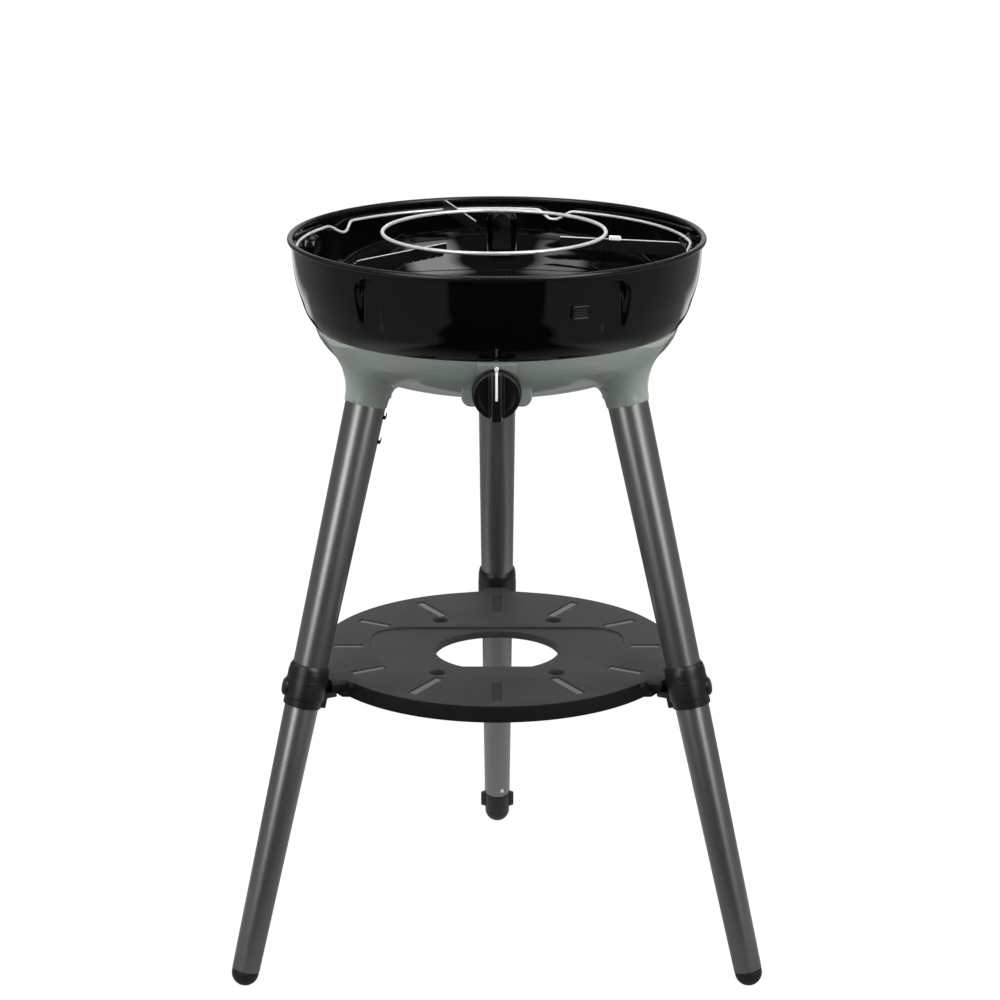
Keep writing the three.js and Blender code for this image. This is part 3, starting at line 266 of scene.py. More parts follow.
def black_plastic(name, roughness, shade=0.0065, shine=0.5):
    m = Nodes(name)
    grain = m.noise(2100, 4.0, 0.6)
    colour = m.mix(m.noise(60, 3.0), (shade, shade, shade * 1.05), (shade * 1.6, shade * 1.62, shade * 1.62))
    m.set(
        # lighter on sharp edges: a painted highlight where the edges catch the light
        Base_Color=m.mix(m.edge_wear(0.54, 0.66), colour, (0.03, 0.03, 0.031)),
        Roughness=m.ramp(grain, 0.3, 0.7, roughness * 0.88, roughness * 1.15),
        Specular_IOR_Level=shine,
        Normal=m.bump(grain, 0.12, 0.0003),
    )
    return m.material


def pale(name, grain_scale, shades, smooth, rough, depth, glow=0.0):
    """A light finish between two shades; glow keeps small white marks clear in the shade."""
    m = Nodes(name)
    grain = m.noise(grain_scale, 3.0)
    m.set(
        Base_Color=m.mix(grain, *shades),
        Roughness=m.ramp(grain, 0.3, 0.7, smooth, rough),
        Emission_Color=(1, 1, 1, 1),
        Emission_Strength=glow,
        Normal=m.bump(grain, depth, 0.0003),
    )
    return m.material


def white_inlay(name):
    return pale(name, 900, ((0.86, 0.86, 0.85), (0.93, 0.93, 0.92)), 0.3, 0.4, 0.04, 0.12)


FINISHES = (
    enamel("black_enamel", 0.035, 0.09),
    moulding(),
    tube_metal(),
    bright_metal("bright_wire", (0.86, 0.86, 0.855), 0.36, 900, metallic=0.66),
    bright_metal("plain_steel", (0.6, 0.595, 0.58), 0.3, 700, (1, 0.04, 1)),
    bright_metal("cast_aluminium", (0.5, 0.5, 0.49), 0.5, 900),
    bright_metal("brass", (0.68, 0.5, 0.22), 0.24, 700),
    shelf_plastic(),
    black_plastic("black_plastic", 0.34),
    white_inlay("white_inlay"),
    pale("ceramic", 500, ((0.72, 0.7, 0.64), (0.8, 0.78, 0.72)), 0.2, 0.32, 0.05),
    enamel("rim_enamel", 0.26, 0.34),
    black_plastic("slot_floor", 0.12, 0.012),
    black_plastic("skirt_black", 0.6, 0.004, 0.2),
    black_plastic("knob_black", 0.24, 0.0035),
    # light grey, for the painted highlight lines along the knob's grip bar
    black_plastic("knob_highlight_line", 0.36, 0.16),
    # steel made almost black: painted shade on the support plates inside the bowl, with a bright strip on their
    # top edges
    bright_metal("plate_steel", (0.035, 0.035, 0.034), 0.36, 700, (1, 0.04, 1)),
    # white with a faint glow: the painted highlight of the overhead light on the plate's steel tab
    white_inlay("tab_painted_highlight"),
)
# by name, without the number that Blender adds where the CAD model has the same name
MATERIALS = {material.name.split(".")[0]: material for material in FINISHES}

for part in frame["record"]["subparts"]:
    node = frame["nodes"][part["node"]]
    node.data.materials.clear()
    node.data.materials.append(MATERIALS[part["material_slot"]])


# ---------- mesh helpers
def mesh_of(name, shape, placed, weld, least_edge=0.0):
    """A mesh from (points, faces), with points closer than the weld distance merged."""
    points, faces = shape
    mesh = bpy.data.meshes.new(name)
    mesh.from_pydata(np.asarray(points, float).tolist(), [], [list(map(int, f)) for f in faces])
    mesh.transform(placed)
    work = bmesh.new()
    work.from_mesh(mesh)
    bmesh.ops.remove_doubles(work, verts=work.verts, dist=weld)
    if least_edge:
        bmesh.ops.dissolve_degenerate(work, edges=work.edges, dist=least_edge)
    bmesh.ops.recalc_face_normals(work, faces=work.faces)
    work.to_mesh(mesh)
    work.free()
    return mesh


def linked(name, data):
    """A new object in the scene."""
    made = bpy.data.objects.new(name, data)
    scene.collection.objects.link(made)
    return made


def dress(mesh, name, material, body, stands_for, sharp):
    """Makes a mesh in the shared frame a piece on a CAD body."""
    mesh.shade_smooth()
    mesh.set_sharp_from_angle(angle=math.radians(sharp))
    mesh.materials.clear()
    mesh.materials.append(MATERIALS[material])
    made = linked(name, mesh)
    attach(made, body)
    if stands_for:
        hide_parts(*stands_for)
    return made


def piece(name, shape, material, body, placed=BOWL_FRAME, stands_for=(), sharp=32):
    """A piece from a shape in millimetres; stands_for are the CAD nodes that it replaces."""
    return dress(mesh_of(name, shape, placed, 1e-6, 1e-7), name, material, body, stands_for, sharp)


def solid(shape, placed=Matrix()):
    """A loose object in millimetres, for cutting and joining."""
    return linked("part", mesh_of("part", shape, placed, 1e-4))


def joined(shapes):
    """Several separate shapes as one."""
    points, faces, count = [], [], 0
    for some_points, some_faces in shapes:
        points.append(np.asarray(some_points, float).reshape(-1, 3))
        faces += [tuple(int(k) + count for k in face) for face in some_faces]
        count += len(points[-1])
    return np.concatenate(points), faces


def moved(shape, placed):
    points = np.asarray(shape[0], float)
    matrix = np.array(placed)
    return points @ matrix[:3, :3].T + matrix[:3, 3], shape[1]


def combine(base, others=(), operation="DIFFERENCE", bevel=0.0, segments=2):
    """The base with the other solids cut away or joined, and its edges rounded. The inputs are used up."""
    for other in others:
        step = base.modifiers.new("step", "BOOLEAN")
        step.operation, step.solver, step.object = operation, "EXACT", other
    if bevel:
        rounding = base.modifiers.new("rounding", "BEVEL")
        rounding.width, rounding.segments = bevel, segments
        rounding.limit_method, rounding.angle_limit = "ANGLE", math.radians(32)
        rounding.use_clamp_overlap = True
    graph = bpy.context.evaluated_depsgraph_get()
    mesh = bpy.data.meshes.new_from_object(base.evaluated_get(graph))
    for used in [base, *others]:
        bpy.data.objects.remove(used)
    return linked("part", mesh)


def slab(outline, low, high, placed=Matrix(), bevel=0.0, segments=2):
    """A loose prism with its edges rounded."""
    return combine(solid(prism(outline, low, high), placed), bevel=bevel, segments=segments)


def finished(made, name, material, body, placed=BOWL_FRAME, stands_for=(), sharp=32):
    """Turns a loose solid into a piece on a CAD body."""
    mesh = made.data
    bpy.data.objects.remove(made)
    mesh.transform(placed)
    mesh.name = name
    return dress(mesh, name, material, body, stands_for, sharp)


def rectangle(left, right, front, back):
    return [(left, front), (right, front), (right, back), (left, back)]


def soft_rectangle(half_width, half_height, radius):
    corners = rectangle(-half_width, half_width, -half_height, half_height)
    return rounded([(x, y, radius) for x, y in corners], True)


def mirrored(half):
    """Outline corners, then the same ones reflected in the X axis."""
    return half + [(x, -y, *radius) for x, y, *radius in reversed(half)]


def rounded(corners, closed=False, step=14):
    """A 2-D outline from (x, y) or (x, y, corner radius) points, with its corners rounded."""
    outline = []
    count = len(corners)
    for i, corner in enumerate(corners):
        here = np.array(corner[:2], float)
        radius = corner[2] if len(corner) > 2 else 0
        if not radius or (not closed and i in (0, count - 1)):
            outline.append(tuple(here))
            continue
        before = np.array(corners[i - 1][:2], float) - here
        after = np.array(corners[(i + 1) % count][:2], float) - here
        to_before, to_after = before / np.linalg.norm(before), after / np.linalg.norm(after)
        opening = math.acos(np.clip(to_before @ to_after, -1, 1))
        room = 0.49 * min(np.linalg.norm(before), np.linalg.norm(after))
        reach = min(radius / math.tan(opening / 2), room)
        true_radius = reach * math.tan(opening / 2)
        middle = to_before + to_after
        middle = here + middle / np.linalg.norm(middle) * true_radius / math.sin(opening / 2)
        start, end = here + to_before * reach - middle, here + to_after * reach - middle
        bend = math.pi - opening
        steps = max(2, math.ceil(math.degrees(bend) / step))
        for k in range(steps + 1):
            share = k / steps
            point = (start * math.sin((1 - share) * bend) + end * math.sin(share * bend)) / math.sin(bend)
            outline.append(tuple(middle + point))
    return outline


def lathe(profile, sides=96, closed=True):
    """A profile of (radius, height) pairs turned about Z."""
    profile = np.array(profile, float)
    turns = np.linspace(0, 2 * math.pi, sides, endpoint=False)
    radius, height = profile[:, :1], profile[:, 1:]
    points = np.stack(
        [radius * np.cos(turns), radius * np.sin(turns), height + 0 * turns], axis=-1
    ).reshape(-1, 3)
    return points, grid_faces(len(profile), sides, closed, True)


def spindle(radius, low, high):
    """The profile of a plain round bar, for a lathe with an open profile."""
    return [(0, low), (radius, low), (radius, high), (0, high)]


def grid_faces(rows, columns, wrap_rows, wrap_columns):
    """Four-sided faces between the rows and columns of a grid of points."""
    i, j = np.meshgrid(
        np.arange(rows if wrap_rows else rows - 1),
        np.arange(columns if wrap_columns else columns - 1),
        indexing="ij",
    )
    below, beside = (i + 1) % rows, (j + 1) % columns
    return np.stack(
        [i * columns + j, i * columns + beside, below * columns + beside, below * columns + j], axis=-1
    ).reshape(-1, 4)


def sweep(path, radius, sides=12, closed=False):
    """A round wire along a path of points; open ends get a low dome."""
    path = np.array(path, float)
    count = len(path)
    radii = np.full(count, float(radius))
    if not closed:
        first, last = path[0] - path[1], path[-1] - path[-2]
        first, last = first / np.linalg.norm(first), last / np.linalg.norm(last)
        path = np.vstack([path[0] + first * radius * 0.45, path, path[-1] + last * radius * 0.45])
        radii = np.concatenate([[radius * 0.55], radii, [radius * 0.55]])
        count += 2
    ahead = np.roll(path, -1, 0) - np.roll(path, 1, 0)
    if not closed:
        ahead[0], ahead[-1] = path[1] - path[0], path[-1] - path[-2]
    ahead /= np.linalg.norm(ahead, axis=1)[:, None]
    side = np.cross(ahead[0], (0, 0, 1) if abs(ahead[0][2]) < 0.9 else (1, 0, 0))
    carried = []
    for direction in ahead:
        side = side - direction * (side @ direction)
        side /= np.linalg.norm(side)
        carried.append(side)
    side = np.array(carried)
    up = np.cross(ahead, side)
    turns = np.linspace(0, 2 * math.pi, sides, endpoint=False)
    ring = side[:, None] * np.cos(turns)[:, None] + up[:, None] * np.sin(turns)[:, None]
    points = (path[:, None] + ring * radii[:, None, None]).reshape(-1, 3)
    faces = [tuple(f) for f in grid_faces(count, sides, closed, True)]
    if not closed:
        faces.append(tuple(range(sides)))
        faces.append(tuple(range(count * sides - sides, count * sides)))
    return points, faces


def prism(outline, low, high):
    """A closed 2-D outline raised along Z."""
    count = len(outline)
    points = [(x, y, low) for x, y in outline] + [(x, y, high) for x, y in outline]
    faces = [tuple(reversed(range(count))), tuple(range(count, 2 * count))]
    faces += [(i, (i + 1) % count, count + (i + 1) % count, count + i) for i in range(count)]
    return points, faces


def smooth_step(value):
    value = np.clip(value, 0, 1)
    return value * value * (3 - 2 * value)


def curve_through(points, count):
    """A smooth line through 2-D points, with even spacing."""
    points = np.array(points, float)
    padded = np.vstack([2 * points[0] - points[1], points, 2 * points[-1] - points[-2]])
    made = []
    for i in range(1, len(padded) - 2):
        a, b, c, d = padded[i - 1 : i + 3]
        for t in np.linspace(0, 1, 40, endpoint=False):
            square, cube = 2 * a - 5 * b + 4 * c - d, 3 * b - a - 3 * c + d
            made.append(0.5 * ((2 * b) + (c - a) * t + square * t**2 + cube * t**3))
    made.append(points[-1])
    made = np.array(made)
    length = np.concatenate([[0], np.cumsum(np.linalg.norm(np.diff(made, axis=0), axis=1))])
    even = np.linspace(0, length[-1], count)
    return np.stack([np.interp(even, length, made[:, k]) for k in range(2)], axis=-1)


def ring_at(turns, radius, height):
    """Points round the Z axis, at turns in radians."""
    return np.stack([radius * np.cos(turns), radius * np.sin(turns), np.full(len(turns), height)], axis=-1)


def dense_azimuths(centres, half_width, fine, coarse):
    """Azimuths in degrees round a full turn, closer together near the centres."""
    azimuths = []
    here = 0.0
    while here < 360 - 1e-9:
        azimuths.append(here)
        away = min(abs((here - c + 180) % 360 - 180) for c in centres)
        here += fine if away < half_width else coarse
    return np.radians(azimuths)


# ---------- fire bowl
LEDGE_AZIMUTHS = [16.5, 88.5, 160.5, 232.5, 304.5]
LEDGE_FACE = 232.6  # the upright face of a pressed ledge, outside
LEDGE_HALF_WIDTH = 15.0
LEDGE_ARCH = 862.2  # centre of its arched top
LEDGE_EDGE = 7.5  # width of the bend round it
WALL = 1.2
bowl_wall = curve_through(
    [(245.4, 890.4), (244.2, 870), (242.1, 850), (239.1, 835), (234.5, 820), (229.4, 805), (219.9, 790.5),
     (206, 778), (186, 767.6), (160, 762), (130, 760.9), (46, 760.6)], 120)


def ledge_push(azimuth, height, radius, grow):
    """How far the pressed ledges move one side of the wall inwards at a place on it."""
    push = np.zeros_like(radius)
    for centre in LEDGE_AZIMUTHS:
        turn = (azimuth - math.radians(centre) + math.pi) % (2 * math.pi) - math.pi
        across = radius * np.sin(turn)
        away = np.hypot(across, np.clip(height - LEDGE_ARCH, 0, None)) - LEDGE_HALF_WIDTH - grow
        inside = smooth_step(0.5 - away / LEDGE_EDGE) * (np.cos(turn) > 0)
        depth = np.clip(radius - (LEDGE_FACE - 2 * grow) / np.cos(np.clip(turn, -0.2, 0.2)), 0, None)
        push = np.maximum(push, depth * inside)
    return push


def bowl_shape():
    azimuths = dense_azimuths(LEDGE_AZIMUTHS, 4.9, 0.14, 1.2)
    # rows are packed where the ledges turn in
    levels = np.arange(883.0, 857.0, -0.6)
    packed = np.interp(levels, bowl_wall[::-1, 1], bowl_wall[::-1, 0])
    above = [tuple(p) for p in bowl_wall if p[1] > levels[0] + 0.5]
    below = [tuple(p) for p in bowl_wall if p[1] < levels[-1] - 0.5]
    outer = np.array(above + list(zip(packed, levels)) + below)
    ahead = np.gradient(outer, axis=0)
    ahead /= np.linalg.norm(ahead, axis=1)[:, None]
    inner = outer + np.stack([ahead[:, 1], -ahead[:, 0]], axis=-1) * WALL
    points = []
    for side, grow in ((outer, 0.0), (inner[::-1], WALL / 2)):
        azimuth, radius = np.meshgrid(azimuths, side[:, 0])
        height = np.repeat(side[:, 1][:, None], len(azimuths), axis=1)
        radius = radius - ledge_push(azimuth, height, radius, grow)
        points.append(np.stack([radius * np.cos(azimuth), radius * np.sin(azimuth), height], axis=-1))
    points = np.concatenate(points)
    return points.reshape(-1, 3), grid_faces(len(points), len(azimuths), True, True)


piece("enamelled_bowl", bowl_shape(), "black_enamel", "stand", stands_for=["fire_bowl"], sharp=50)
RIM_RADIUS, RIM_HEIGHT, BEAD = 246.5, 890.5, 3.5
bead_turns = [math.radians(t) for t in range(0, 360, 15)]
bead = [(RIM_RADIUS + BEAD * math.cos(t), RIM_HEIGHT + BEAD * math.sin(t)) for t in bead_turns]
piece("rolled_rim", lathe(bead, 360), "rim_enamel", "stand")

BADGE_AZIMUTH = -67
BADGE_LEAN = 0.16  # the bowl's wall leans back by this angle there


def badge():
    """A blank raised plate with a rounded border and fine plain ridges."""
    plate = solid(prism(soft_rectangle(11.2, 8.5, 2.8), -0.4, 1.9))
    well = solid(prism(soft_rectangle(9.4, 6.1, 1.6), 1.1, 3))
    plate = combine(plate, [well], bevel=0.4)
    ridge = prism(soft_rectangle(7.4, 0.7, 0.5), 0.5, 1.75)
    ridges = [solid(moved(ridge, Matrix.Translation((0, y, 0)))) for y in (-3.2, 0, 3.2)]
    plate = combine(plate, ridges, "UNION", bevel=0.22)
    on_wall = facing_out(BADGE_AZIMUTH, 242.6, 847.3)
    placed = BOWL_FRAME @ on_wall @ Matrix.Rotation(BADGE_LEAN, 4, "Y") @ ACROSS
    finished(plate, "blank_badge", "rim_enamel", "stand", placed, ["bowl_badge"])


badge()

# ---------- grey base with its leg sockets
HOUSING_RADIUS = 219.3
HOUSING_LOW = 717.4
HOUSING_WALL = 2.4
VENT_RADIUS = 34
BELLY = curve_through(
    [(HOUSING_RADIUS, JOINT_HEIGHT), (214.5, 776), (204, 761.5), (189, 748.5), (168, 736.5), (143, 727.3),
     (112, 720.8), (80, 718), (VENT_RADIUS, HOUSING_LOW)], 90)
SOCKET_LIP = 730
SOCKET_RADIUS = 25.6  # at its lip, and it flares from there up to a height above the lip
SOCKET_FLARE = 0.0081
SOCKET_FLARE_END = 75
SOCKET_BLEND = 7.0
APEX = LEG_FOOT_RADIUS / LEG_SLOPE  # height at which the legs' axes would meet


def polyline_distance(points, line):
    """Distance of 2-D points from a line of points."""
    best = np.full(len(points), np.inf)
    for start, end in zip(line[:-1], line[1:]):
        along = end - start
        share = np.clip(((points - start) @ along) / (along @ along), 0, 1)
        best = np.minimum(best, np.linalg.norm(points - start - share[:, None] * along, axis=1))
    return best


def belly_distance(points):
    """Signed distance from the turned belly, negative inside it."""
    flat = np.stack([np.hypot(points[:, 0], points[:, 1]), points[:, 2]], axis=-1)
    line = BELLY[::3]
    wall = np.interp(flat[:, 1], line[::-1, 1], line[::-1, 0])
    inside = (flat[:, 0] < wall) & (flat[:, 1] > line[-1, 1])
    distance = polyline_distance(flat, line)
    return np.where(inside, -distance, distance)


def socket_distance(points, azimuth):
    to_leg = np.array((BOWL_FRAME.inverted() @ leg_frame(azimuth)).inverted())
    local = points @ to_leg[:3, :3].T + to_leg[:3, 3]
    rise = local[:, 2] - SOCKET_LIP
    flared = np.clip(rise, 0, SOCKET_FLARE_END)
    radius = SOCKET_RADIUS + SOCKET_FLARE * flared**2
    slope = 2 * SOCKET_FLARE * flared
    side = (np.hypot(local[:, 0], local[:, 1]) - radius) / np.sqrt(1 + slope**2)
    return np.maximum(side, -rise)


def housing_distance(points):
    """Signed distance from the belly joined smoothly to the three sockets."""
    body = belly_distance(points)
    envelope = np.hypot(points[:, 0], points[:, 1]) - HOUSING_RADIUS
    for azimuth in LEG_AZIMUTHS.values():
        socket = np.maximum(socket_distance(points, azimuth), envelope)
        blend = np.clip(0.5 + 0.5 * (body - socket) / SOCKET_BLEND, 0, 1)
        body = body * (1 - blend) + socket * blend - SOCKET_BLEND * blend * (1 - blend)
    return body


def housing_shape():
    """The outer skin, found along rays from the point where the legs' axes meet."""
    rim_angle = math.atan(HOUSING_RADIUS / (APEX - JOINT_HEIGHT))
    vent_angle = math.atan(VENT_RADIUS / (APEX - HOUSING_LOW))
    flat_end = math.radians(9.0)  # the nearly flat middle needs fewer rows
    flat = np.linspace(vent_angle, flat_end, 16, endpoint=False)
    angles = np.concatenate([flat, np.linspace(flat_end, rim_angle, 150)])
    azimuths = dense_azimuths(list(LEG_AZIMUTHS.values()), 24, 0.4, 1.2)
    angle, azimuth = np.meshgrid(angles, azimuths, indexing="ij")
    rays = np.stack(
        [np.sin(angle) * np.cos(azimuth), np.sin(angle) * np.sin(azimuth), -np.cos(angle)], axis=-1
    ).reshape(-1, 3)
    apex = np.array((0, 0, APEX))
    inside = (APEX - JOINT_HEIGHT) / np.cos(angle).reshape(-1) - 2.0
    outside = (APEX - 695) / np.cos(angle).reshape(-1)
    for _ in range(15):
        middle = (inside + outside) / 2
        value = housing_distance(apex + rays * middle[:, None])
        inside = np.where(value < 0, middle, inside)
        outside = np.where(value < 0, outside, middle)
    points = apex + rays * ((inside + outside) / 2)[:, None]
    rows, columns = len(angles), len(azimuths)
    points = points.reshape(rows, columns, 3)
    points[-1] = ring_at(azimuths, HOUSING_RADIUS, JOINT_HEIGHT - 0.3)
    # the wall turns over at the rim and runs back inside, to the vent
    inside = [(HOUSING_RADIUS - 0.3, JOINT_HEIGHT), (HOUSING_RADIUS - 1.1, JOINT_HEIGHT)]
    inside += [tuple(p - HOUSING_WALL * n) for p, n in zip(BELLY[2::4], belly_normals()[2::4])]
    inside.append((VENT_RADIUS, HOUSING_LOW + HOUSING_WALL))
    skin = np.concatenate([points, np.array([ring_at(azimuths, r, z) for r, z in inside])])
    return skin.reshape(-1, 3), grid_faces(len(skin), columns, True, True)


def belly_normals():
    ahead = np.gradient(BELLY, axis=0)
    ahead /= np.linalg.norm(ahead, axis=1)[:, None]
    return np.stack([-ahead[:, 1], ahead[:, 0]], axis=-1)


piece("base_shell", housing_shape(), "grey_moulding", "stand", stands_for=["base_housing"], sharp=48)


BLOCK_FACE = 188  # distances forward of the bowl's axis, from here to the grip
BOSS_FACE = 205
BLOCK_TOP = 769


def control_housing():
    """The moulded block that carries the knob, and the low pad above it."""
    half = 40.6
    outline = rounded([(-half, 728.5, 11), (half, 728.5, 11), (half, BLOCK_TOP, 5), (-half, BLOCK_TOP, 5)], True)
    block = slab(outline, 152, BLOCK_FACE, bevel=2.2, segments=4)
    boss = lathe(spindle(27.4, 180, BOSS_FACE), 96, False)
    boss = solid(boss, Matrix.Translation((0, KNOB_HEIGHT, 0)))
    block = combine(block, [boss], "UNION")
    finished(block, "knob_block", "grey_moulding", "stand", BOWL_FRAME @ UPRIGHT, ["control_pod"])
    low, high, proud = BLOCK_TOP - 1, 786.4, 0.55
    levels = np.linspace(low, high, 9)
    belly = np.interp(levels, BELLY[::-1, 1], BELLY[::-1, 0])
    face = [(-r - proud, z) for r, z in zip(belly, levels)]
    pad = slab(face + [(-206, high), (-200, low)], -22.6, 22.6, ACROSS, 0.4)
    finished(pad, "knob_pad", "grey_moulding", "stand")


control_housing()

# ---------- knob
BEZEL_FACE = 219.5
KNOB_FACE = 236
GRIP_FACE = 247
bezel_profile = rounded([
    (5, 205.3), (28.6, 205.3), (28.6, BEZEL_FACE, 0.9), (25.9, BEZEL_FACE, 0.6), (25.2, 217.5, 0.5),
    (5, 217.5)])
piece("bezel_ring", lathe(bezel_profile, 128), "black_plastic", "stand", KNOB_FRAME, ["knob_bezel"])

mark_profile = rounded([(0, 214), (2.6, 214), (2.6, BEZEL_FACE + 0.4, 0.4), (0, BEZEL_FACE + 0.4)])
piece(
    "index_mark", lathe(mark_profile, 40, False), "white_inlay", "stand",
    BOWL_FRAME @ Matrix.Translation((0, 0, 28.1)) @ FACING_FRONT, ["index_dot"])


def knob():
    profile = rounded([
        (0, 223.5), (26.3, 223.5, 0.6), (27.1, 227, 1.5), (26.9, KNOB_FACE, 1.3), (21.5, KNOB_FACE, 1.0),
        (18.5, KNOB_FACE - 0.7, 1.0), (0, KNOB_FACE - 0.7)])
    disc = solid(lathe(profile, 128, False))
    # the grip bar: slanted flanks, proud of the disc at both ends
    grip = rounded([(-8.7, 233.5), (-5.0, GRIP_FACE, 1.2), (5.0, GRIP_FACE, 1.2), (8.7, 233.5)], True)
    bar = slab(grip, -27.1, 27.1, UPRIGHT, 0.7, 3)
    body = combine(disc, [bar], "UNION")
    channel = solid(prism(rectangle(-1.5, 1.5, GRIP_FACE - 0.8, 260), -30, 2.2), UPRIGHT)
    crown = solid(prism(rectangle(-1.5, 1.5, 226, 260), -30, -26.3), UPRIGHT)
    body = combine(body, [channel, crown])
    finished(body, "knob_grip", "knob_black", "knob", KNOB_FRAME, ["knob"], 28)
    # the white line runs down the bar's face and back over its top end
    strip = solid(prism(rectangle(-1.4, 1.4, GRIP_FACE - 0.9, GRIP_FACE + 0.1), -27.1, 2.2), UPRIGHT)
    over = solid(prism(rectangle(-1.4, 1.4, 226.3, GRIP_FACE + 0.05), -27.1, -26.2), UPRIGHT)
    strip = combine(combine(strip, [over], "UNION"), bevel=0.2)
    finished(strip, "knob_pointer_strip", "white_inlay", "knob", KNOB_FRAME, ["knob_pointer"])
    # painted highlights: thin light grey lines along the bar's four edges, where the edges catch the light
    lines = []
    for side in (-1, 1):
        for x, face in ((5.1, GRIP_FACE - 0.7), (8.5, KNOB_FACE + 0.1)):
            lines.append(sweep([(side * x, -26.4, face), (side * x, 26.4, face)], 0.38, 8))
    piece("knob_painted_highlight_lines", joined(lines), "knob_highlight_line", "knob", KNOB_FRAME)


knob()

# ---------- pan support
DIPS = [-2.5, 71, 144.4, 216, 289]
SUPPORT_FRAME = BOWL_FRAME @ Matrix.Translation((-3.2, 0, 0))


def outer_wire():
    path = []
    for degrees in np.arange(0, 360, 0.75):
        away = min(abs((degrees - dip + 180) % 360 - 180) for dip in DIPS)
        dip = float(smooth_step(1 - (away - 0.5) / 5.5))
        radius, height = 236 - 7 * dip, 880 - 10 * dip
        turn = math.radians(degrees)
        path.append((radius * math.cos(turn), radius * math.sin(turn), height))
    return sweep(path, 1.85, 14, True)


piece("outer_wire", outer_wire(), "bright_wire", "pan_support", SUPPORT_FRAME, ["support_outer_ring"])
inner_path = ring_at(np.linspace(0, 2 * math.pi, 160, endpoint=False), 133.3, 896.8)
piece("inner_wire", sweep(inner_path, 2.2, 18, True), "bright_wire", "pan_support", SUPPORT_FRAME,
      ["support_inner_ring"])

PLATE_TOP = 894.4
TEETH = 6
FIRST_TOOTH = 87
TOOTH_PITCH = 12.4
TIP = 233.6
PLATE_AZIMUTHS = {"right": -14, "rear": 106, "left": 226}


def plate_outline():
    """One support plate from the side: a straight top and narrow notches in its lower edge near the tip."""
    top, teeth = PLATE_TOP, PLATE_TOP - 15
    outline = rounded([(86, top - 13), (80.5, top - 7.5, 1), (80.5, top, 1), (90, top)])[::-1]
    for tooth in range(TEETH):
        start = FIRST_TOOTH + tooth * TOOTH_PITCH
        end = start + TOOTH_PITCH - 2.8
        outline += rounded([
            (start - 0.6, teeth + 0.8), (start, teeth, 1.6), (end, teeth, 1.6), (end + 1.4, teeth + 3)])
    outline += [(FIRST_TOOTH + TEETH * TOOTH_PITCH, teeth), (TIP, top - 17)]
    outline += rounded([(TIP, top - 16), (TIP, top - 1.5, 9), (221, top, 8), (200, top)])
    return outline


for side, azimuth in PLATE_AZIMUTHS.items():
    plate = slab(plate_outline(), -0.75, 0.75, UPRIGHT, 0.22, 1)
    turned = SUPPORT_FRAME @ turned_about_z(azimuth)
    finished(plate, f"plate_{side}", "plate_steel", "pan_support", turned, [f"support_plate_{side}"])
    # a painted highlight: a thin bright strip along each plate's top edge, where the light catches it
    highlight_line = rounded([(81.2, PLATE_TOP - 0.35), (223, PLATE_TOP - 0.35, 30), (231, PLATE_TOP - 3, 6),
                         (233.3, PLATE_TOP - 9)])
    edge = sweep([(x, 0, z) for x, z in highlight_line], 0.8, 8)
    piece(f"plate_highlight_strip_{side}", edge, "bright_wire", "pan_support", turned)
# the tab is white and glows a little: a painted highlight of the overhead light on a steel tab
tab_outline = rounded([(140.1, 893.1, 0.5), (154.4, 893.1, 0.5), (154.4, 898.4, 2), (140.1, 898.4, 1.2)], True)
tab = slab(tab_outline, -1.4, 1.4, UPRIGHT, 0.5)
tab_place = SUPPORT_FRAME @ turned_about_z(PLATE_AZIMUTHS["right"])
finished(tab, "painted_highlight_tab", "tab_painted_highlight", "pan_support", tab_place, ["support_tab"])

# ---------- burner
cap_profile = rounded([(0, 803), (25, 802, 8), (46, 798.2, 8), (57.9, 794.2, 1), (57.9, 792.3, 0.4), (0, 792.3)])
piece("burner_lid", lathe(cap_profile, 96, False), "plain_steel", "stand", stands_for=["burner_cap"])


def burner():
    profile = rounded([
        (7, 757.5), (13, 757.5, 1), (13, 769, 3), (43, 769, 3), (55, 778, 3), (55, 792, 0.8), (50, 792, 0.8),
        (50, 781, 2), (40, 774, 2), (7, 774)], True)
    head = solid(lathe(profile, 96))
    slot = prism(rectangle(46, 60, -1.1, 1.1), 784, 791)
    slots = [moved(slot, turned_about_z(degrees)) for degrees in range(0, 360, 10)]
    head = combine(head, [solid(joined(slots))])
    low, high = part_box("burner_head")
    placed = Matrix.Translation((0, (low.y + high.y) / 2, 0)) @ Matrix.Diagonal((MM, MM, MM, 1))
    finished(head, "burner_body", "cast_aluminium", "stand", placed, ["burner_head"])


burner()


# ---------- shelf
SLOT_INNER = (166, 157, 136, 136)  # by their distance from the sideways line, in steps of 30 degrees
SLOT_OUTER = 202
HOLES = [(72, 100), (-72, 100), (72, -100), (-72, -100)]
SUNK_DEPTH = 2.5
SUNK_FRONT, SUNK_BACK, SUNK_SIDE = -16, 73, 158


def shelf_outline():
    """The round plate with a lug towards each leg."""
    outline = []
    lugs = sorted(LEG_AZIMUTHS.values())
    for degrees in np.arange(0, 360, 1.0):
        near = min(abs((degrees - a + 180) % 360 - 180) for a in lugs)
        if near > 10.2:
            turn = math.radians(degrees)
            outline.append((degrees, (219.7 * math.cos(turn), 219.7 * math.sin(turn))))
    for azimuth in lugs:
        side = rounded(mirrored([(216.5, -39.2), (221.0, -17.5, 7), (236.8, -15, 1.5)]))
        turn = math.radians(azimuth)
        for k, (x, y) in enumerate(side):
            place = (x * math.cos(turn) - y * math.sin(turn), x * math.sin(turn) + y * math.cos(turn))
            outline.append((azimuth - 5 + 10 * k / len(side), place))
    return [place for _, place in sorted(outline, key=lambda item: item[0])]


